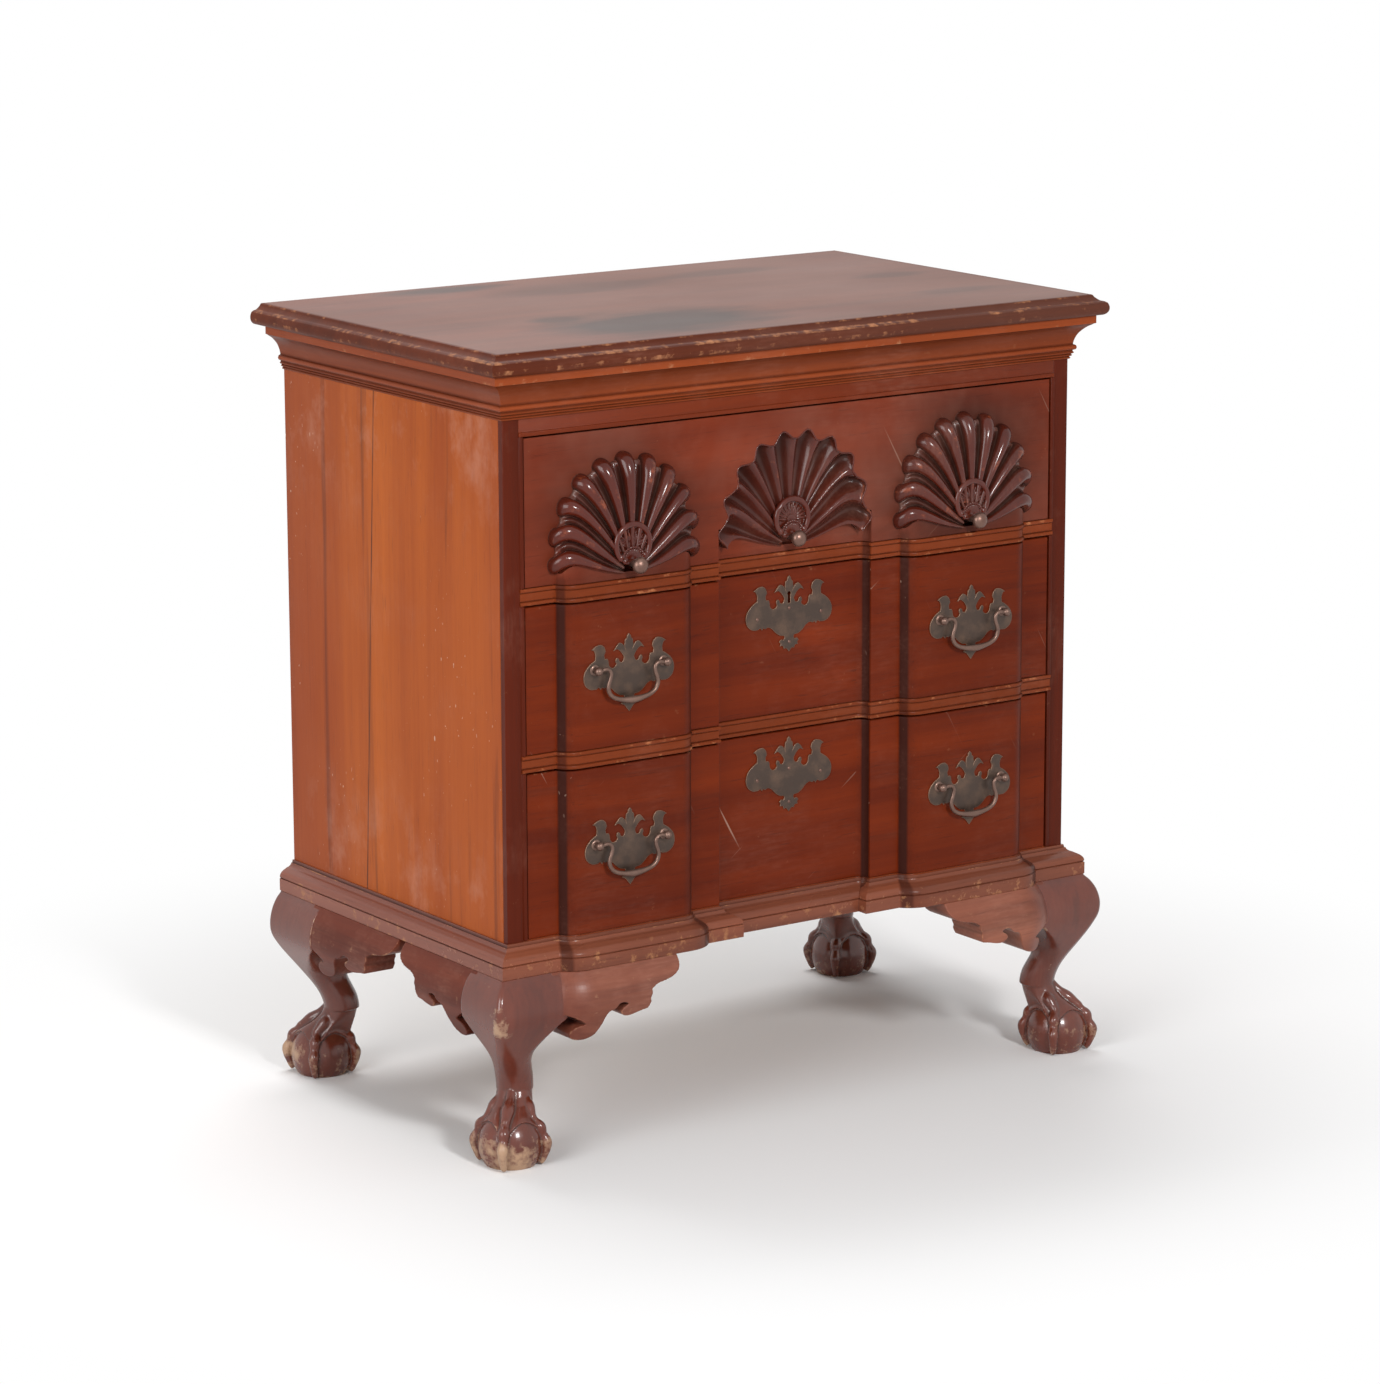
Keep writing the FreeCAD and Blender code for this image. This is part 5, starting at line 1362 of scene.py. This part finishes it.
def leg_skin(knee_depth, bulges_back, ax, ay):
    """Rings of the knee and ankle, from the base moulding down."""
    outer, inner, roundness = along(OUTER_CURVE), along(INNER_CURVE), along(ROUNDNESS)
    rings = []
    for k in range(LEG_RINGS):
        z = LEG_HEIGHT + 4 - k * LEG_STEP
        low_share = (outer(z) + KNEE_BULGE) / (ANKLE_INSET + KNEE_BULGE) if z < KNEE_CREST_Z else 0.0
        knee_share = unit((158 - z) / 40)
        knee_share = knee_share * knee_share * (3 - 2 * knee_share)
        flare = max(0.0, (inner(z) - NECK_INNER) / (KNEE_INNER - NECK_INNER)) * (z > NECK_Z)
        x0 = outer(z) + (ax - ANKLE_CENTER) * low_share
        y0 = outer(z) + (ay - ANKLE_CENTER) * low_share if bulges_back else (ay - ANKLE_RADIUS) * low_share
        x1 = ax + inner(z) + (KNEE_WIDTH - ax - KNEE_INNER) * flare
        y1 = ay + inner(z) + (knee_depth - ay - KNEE_INNER) * flare
        corner = roundness(z) if bulges_back else 3 + (roundness(z) - 3) * knee_share
        rings.append(squared_ring(z, x0, x1, y0, y1, corner, 0.8 + (corner - 0.8) * knee_share))
    return rings


def web_skin(ax, ay, fx, fy):
    """Rings of the web that spreads from the ankle over the ball, cut back between the toes."""
    rings = []
    for share, lean in ((0, 1.0), (0.2, 0.95), (0.4, 0.8), (0.6, 0.55), (0.75, 0.3), (0.88, 0.1), (1.0, 0.0)):
        ring = []
        for t in full_turn(64):
            to_toe = abs((t / (math.pi / 2) + 0.5) % 1.0 - 0.5) * 2
            rim = WEB_TOP - 15.0 * to_toe ** 2.2
            lip = BALL_RADIUS * math.sqrt(1 - ((rim - BALL_Z) / BALL_HEIGHT) ** 2) + 3.6
            r = WEB_ROOT + (lip - WEB_ROOT) * share ** 3
            ring.append((fx + (ax - fx) * lean + r * math.cos(t), fy + (ay - fy) * lean + r * math.sin(t),
                         WEB_START + (rim - WEB_START) * share))
        rings.append(ring)
    rings.append([(fx + 0.6 * (x - fx), fy + 0.6 * (y - fy), z) for x, y, z in rings[-1]])
    return rings


def make_leg(knee_depth, bulges_back, ankle, foot):
    """Cabriole leg with a ball-and-claw foot, as parts that overlap."""
    (ax, ay), (fx, fy) = ankle, foot
    parts = [join_rings(leg_skin(knee_depth, bulges_back, ax, ay)),
             ball((fx, fy, BALL_Z), (BALL_RADIUS, BALL_RADIUS, BALL_HEIGHT), rings=32, sides=48),
             join_rings(web_skin(ax, ay, fx, fy))]
    toe = bend(TOE, 6)
    for heading, reach in ((225, 1.0), (135, 0.96), (315, 0.96), (45, 0.96)):
        t = math.radians(heading)
        line = []
        for out, z, _ in toe:
            lean = unit((z - 50) / 30)
            line.append((fx + (ax - fx) * lean + out * reach * math.cos(t),
                         fy + (ay - fy) * lean + out * reach * math.sin(t), z))
        parts.append(join_rings(tube(line, [w for _, _, w in toe], 16)))
    return parts


def rub_more(mesh, extra):
    """Raise the `edge` mark by a function of (x, distance in front of the flat front, height)."""
    edge = mesh.attributes["edge"].data
    for vertex in mesh.vertices:
        now = edge[vertex.index]
        x, y, z = vertex.co / MM
        now.value = min(1.0, now.value + extra(x, front_plane - y, z))
    return mesh


def left_leg_wear(x, out, z):
    """Wear on the foot, and the patch rubbed bare on the knee of the front left leg."""
    off_arris = abs(-x - HALF_CASE - out)
    knee = max(0.0, 1 - ((z - 160) / 21) ** 2) * max(0.0, 1 - off_arris / 17) * (out > 12)
    return 0.75 * unit((48 - z) / 22) + 1.8 * knee


def finish_leg(parts, shift_x, shift_y, flip_y, name):
    """One softened skin of the parts of a leg, in its corner of the case and flat on the floor."""
    points, faces = gather(parts)
    points = [(x + shift_x, shift_y - y if flip_y else y + shift_y, z) for x, y, z in points]
    mesh = carve_soft(turn_outwards(make_mesh(name, points, faces)), 0.95, 2)
    level = read_points(mesh, "co")
    level[:, 2] = np.clip(level[:, 2], 0.0, LEG_HEIGHT * MM)
    mesh.vertices.foreach_set("co", level.ravel())
    mesh.update()
    return mark_curvature(mesh, 0.35)


def dress_legs():
    """Left legs and their mirror copies, with more wear at the feet."""
    front = make_leg(FRONT_KNEE_DEPTH, True, (ANKLE_CENTER, ANKLE_CENTER), (20.0, 20.0))
    rear = make_leg(REAR_KNEE_DEPTH, False, (44.0, 52.0), (28.0, 36.0))
    corner = HALF_CASE + BASE_PROJECTION
    for stem, parts, y, flip in (("leg_front", front, -BASE_PROJECTION, False),
                                 ("leg_rear", rear, CASE_DEPTH, True)):
        mesh = finish_leg(parts, -corner, y, flip, stem)
        other = mirror_mesh(mesh)
        rub_more(mesh, left_leg_wear)
        rub_more(other, lambda x, out, z: 0.4 * unit((44 - z) / 25))
        add_piece(stem + "_left_carved", mesh, "case", leg_wood, stem + "_left", smooth=180)
        add_piece(stem + "_right_carved", other, "case", leg_wood, stem + "_right", smooth=180)


BRACKET_LENGTH = 139.0
BRACKET_BACK = 24.0  # from the face of the base moulding to the back of a bracket


def bracket_outline(length):
    """Scrolled outline as (distance from the leg, height): two hooked scrolls and a rising tip."""
    t = length / BRACKET_LENGTH
    runs = [[(-12, 200), (-12, 158)], [(-12, 158), (-4, 156.8), (3.3, 154.4), (11.5, 149.8), (16.4, 145.8)],
            [(16.4, 145.8), (8.9, 143.7), (4.3, 139.6), (2.1, 135.6)],
            [(2.1, 135.6), (3.4, 131.2), (8.6, 128.6), (17.9, 128.8), (28.5, 133.3), (34.7, 142.7),
             (37.7, 150.3), (41.7, 155.9), (47.6, 157.6)],
            [(47.6, 157.6), (50.4, 159.3), (54.7, 162.9), (60.5, 163.4), (66.5, 161.3)],
            [(66.5, 161.3), (61, 158.6), (57.7, 155.8), (57, 152.5), (61.4, 148.8), (69, 148.1),
             (83.2, 151.3), (90, 152.3)],
            [(90, 152.3), (93.2, 158.5), (93, 162.9), (94.9, 167.3), (94.8, 172)],
            [(94.8, 172), (102.9, 176.3), (113.2, 178.3), (122.5, 180.9), (130.1, 185.6), (133.5, 190.8),
             (134.4, 196.2), (134.3, 200)]]
    return [(x * t, z) for x, z in bend_runs(runs, 5)]


def bulge_profile():
    """Face of a bracket from below its lowest point up: projection and height."""
    p = BASE_PROJECTION
    line = bend([(p + 3, 124), (p + 6, 135), (p + 11.5, 150), (p + KNEE_BULGE - 0.6, 165), (p + 10, 184),
                 (p, 200)], 5)
    return [(g, z, 0.0) for g, z in line]


def add_brackets(node_name, run, shape, material):
    """A bracket on the right, cut to its shape and softened, and its mirror copy on the left."""
    mesh = mark_curvature(carve_soft(combine(run, shape, "INTERSECT"), 0.8, 2), 0.3)
    rub_more(mesh, lambda x, out, z: 0.15)
    add_piece(node_name + "_scrolled", mesh, "case", material, node_name, smooth=180)
    left = node_name.replace("right", "left")
    add_piece(left + "_scrolled", mirror_mesh(mesh), "case", material, left, smooth=180)


def dress_brackets():
    """Knee brackets under the front and between the legs of both sides."""
    corner = HALF_CASE + BASE_PROJECTION
    start_x = corner - KNEE_WIDTH
    back = BRACKET_BACK - BASE_PROJECTION
    profile = bulge_profile()
    run = blocked_form("bracket", profile, corner, back)
    outline = [(start_x - t, z) for t, z in bracket_outline(BRACKET_LENGTH)]
    add_brackets("bracket_front_right", run, flat_form("shape", outline, -80, back + 10), bracket_wood)
    inner = corner - BRACKET_BACK
    face = [(HALF_CASE + g, z) for g, z, _ in profile] + [(inner, 200), (inner, profile[0][1])]
    for word in ("front", "rear"):
        node_name = "bracket_side_%s_right" % word
        y0, y1 = low(node_name, "y") - front_plane, high(node_name, "y") - front_plane
        run = flat_form("run", face, y0 - 14, y1 + 14)
        outline = [(y0 + t if word == "front" else y1 - t, z) for t, z in bracket_outline(y1 - y0)]
        rings = [[(x, y, z) for y, z in outline] for x in (300.0, 500.0)]
        shape = turn_outwards(make_mesh("shape", *join_rings(rings)))
        add_brackets(node_name, run, shape, bracket_side_wood)


# ---------------------------------------------------------------- inside
def dress_inside():
    """Plain wood or brass for the solids that are seen as they are."""
    for name, obj in frame["nodes"].items():
        if obj.hide_render:
            continue
        rough_part = name in ("back_boards", "bottom_board", "glue_blocks", "dust_panels")
        material = back_wood if rough_part else inner_wood
        if name.startswith("lock"):
            material = lock_brass
        obj.data.materials.clear()
        obj.data.materials.append(material)


# ---------------------------------------------------------------- stage
CAMERA_PLACE = (-2928.0, -4035.0, 1541.0)  # from the middle of the front plane at the floor
CAMERA_YAW, CAMERA_PITCH, CAMERA_ROLL = 34.697, 12.358, -0.173
FOCAL_PIXELS, FRAME_LONG_SIDE = 4878.08, 1384.0

WORLD_LIGHT = 0.38
FLOOR_HALF = 8.0


def set_camera():
    """Camera at its measured place, with its turn and roll."""
    yaw, pitch, roll = (math.radians(a) for a in (CAMERA_YAW, CAMERA_PITCH, CAMERA_ROLL))
    ahead = Vector((math.sin(yaw) * math.cos(pitch), math.cos(yaw) * math.cos(pitch), -math.sin(pitch)))
    right = Vector((math.cos(yaw), -math.sin(yaw), 0))
    up = right.cross(ahead)
    right, up = right * math.cos(roll) + up * math.sin(roll), up * math.cos(roll) - right * math.sin(roll)
    data = bpy.data.cameras.new("camera")
    data.sensor_width = 36.0
    data.lens = FOCAL_PIXELS * data.sensor_width / FRAME_LONG_SIDE
    data.clip_end = 100.0
    camera = new_object("camera", data)
    turn = Matrix((right, up, -ahead)).transposed().to_4x4()
    x, y, z = CAMERA_PLACE
    camera.matrix_world = Matrix.Translation((x * MM, (y + front_plane) * MM, z * MM)) @ turn
    bpy.context.scene.camera = camera


def add_lamp(name, place, target, size, power):
    """Soft rectangular lamp that faces its target."""
    data = bpy.data.lights.new(name, "AREA")
    data.shape = "RECTANGLE"
    data.size, data.size_y = size
    data.energy = power
    lamp = new_object(name, data)
    lamp.location = place
    lamp.rotation_mode = "QUATERNION"
    lamp.rotation_quaternion = (Vector(target) - Vector(place)).to_track_quat("-Z", "Y")


def seen_straight(tree):
    """One for rays that show the white of the stage, and zero for those that only light the piece."""
    paths = node(tree, "ShaderNodeLightPath").outputs
    seen = math_node(tree, "MAXIMUM", paths["Is Camera Ray"], paths["Is Transmission Ray"])
    return math_node(tree, "MAXIMUM", seen, paths["Is Glossy Ray"])


def set_stage():
    """White floor that fades into the white of the world, and three lamps."""
    floor_mesh = bpy.data.meshes.new("floor")
    corners = [(sx * FLOOR_HALF, sy * FLOOR_HALF, 0) for sx, sy in ((-1, -1), (1, -1), (1, 1), (-1, 1))]
    floor_mesh.from_pydata(corners, [], [(0, 1, 2, 3)])
    floor = new_object("floor", floor_mesh)
    material, tree, surface = new_material("pale floor")
    surface.inputs["Base Color"].default_value = (0.86, 0.86, 0.86, 1)
    surface.inputs["Roughness"].default_value = 0.9
    surface.inputs["Specular IOR Level"].default_value = 0.1
    far = vector_length(tree, place_of(tree))
    away = node(tree, "ShaderNodeMapRange", {"Value": far, "From Min": 0.45, "From Max": 1.1},
                interpolation_type="SMOOTHSTEP").outputs["Result"]
    white = node(tree, "ShaderNodeEmission").outputs[0]
    share = times(tree, away, seen_straight(tree))
    blend = node(tree, "ShaderNodeMixShader", {0: share, 1: surface.outputs[0], 2: white})
    tree.links.new(blend.outputs[0], tree.nodes["Material Output"].inputs["Surface"])
    floor_mesh.materials.append(material)

    world = bpy.data.worlds.new("studio")
    bpy.context.scene.world = world
    world.use_nodes = True
    tree = world.node_tree
    strength = ramp(tree, seen_straight(tree), 0.0, 1.0, WORLD_LIGHT, 1.0)
    tree.links.new(strength, tree.nodes["Background"].inputs["Strength"])
    tree.nodes["Background"].inputs["Color"].default_value = (1, 1, 1, 1)
    add_lamp("key", (-0.5, -3.7, 2.2), (0.0, -0.1, 0.5), (0.55, 0.55), 90)
    add_lamp("fill", (-2.9, -1.1, 1.5), (-0.3, 0.1, 0.45), (1.8, 1.8), 52)
    add_lamp("overhead", (0.3, 1.6, 3.4), (0.0, 0.0, 0.8), (2.6, 1.4), 70)


set_camera()
set_stage()
dress_case()
dress_drawers()
dress_shells()
dress_hardware()
dress_legs()
dress_brackets()
dress_inside()

bpy.context.scene.view_settings.view_transform = "Standard"
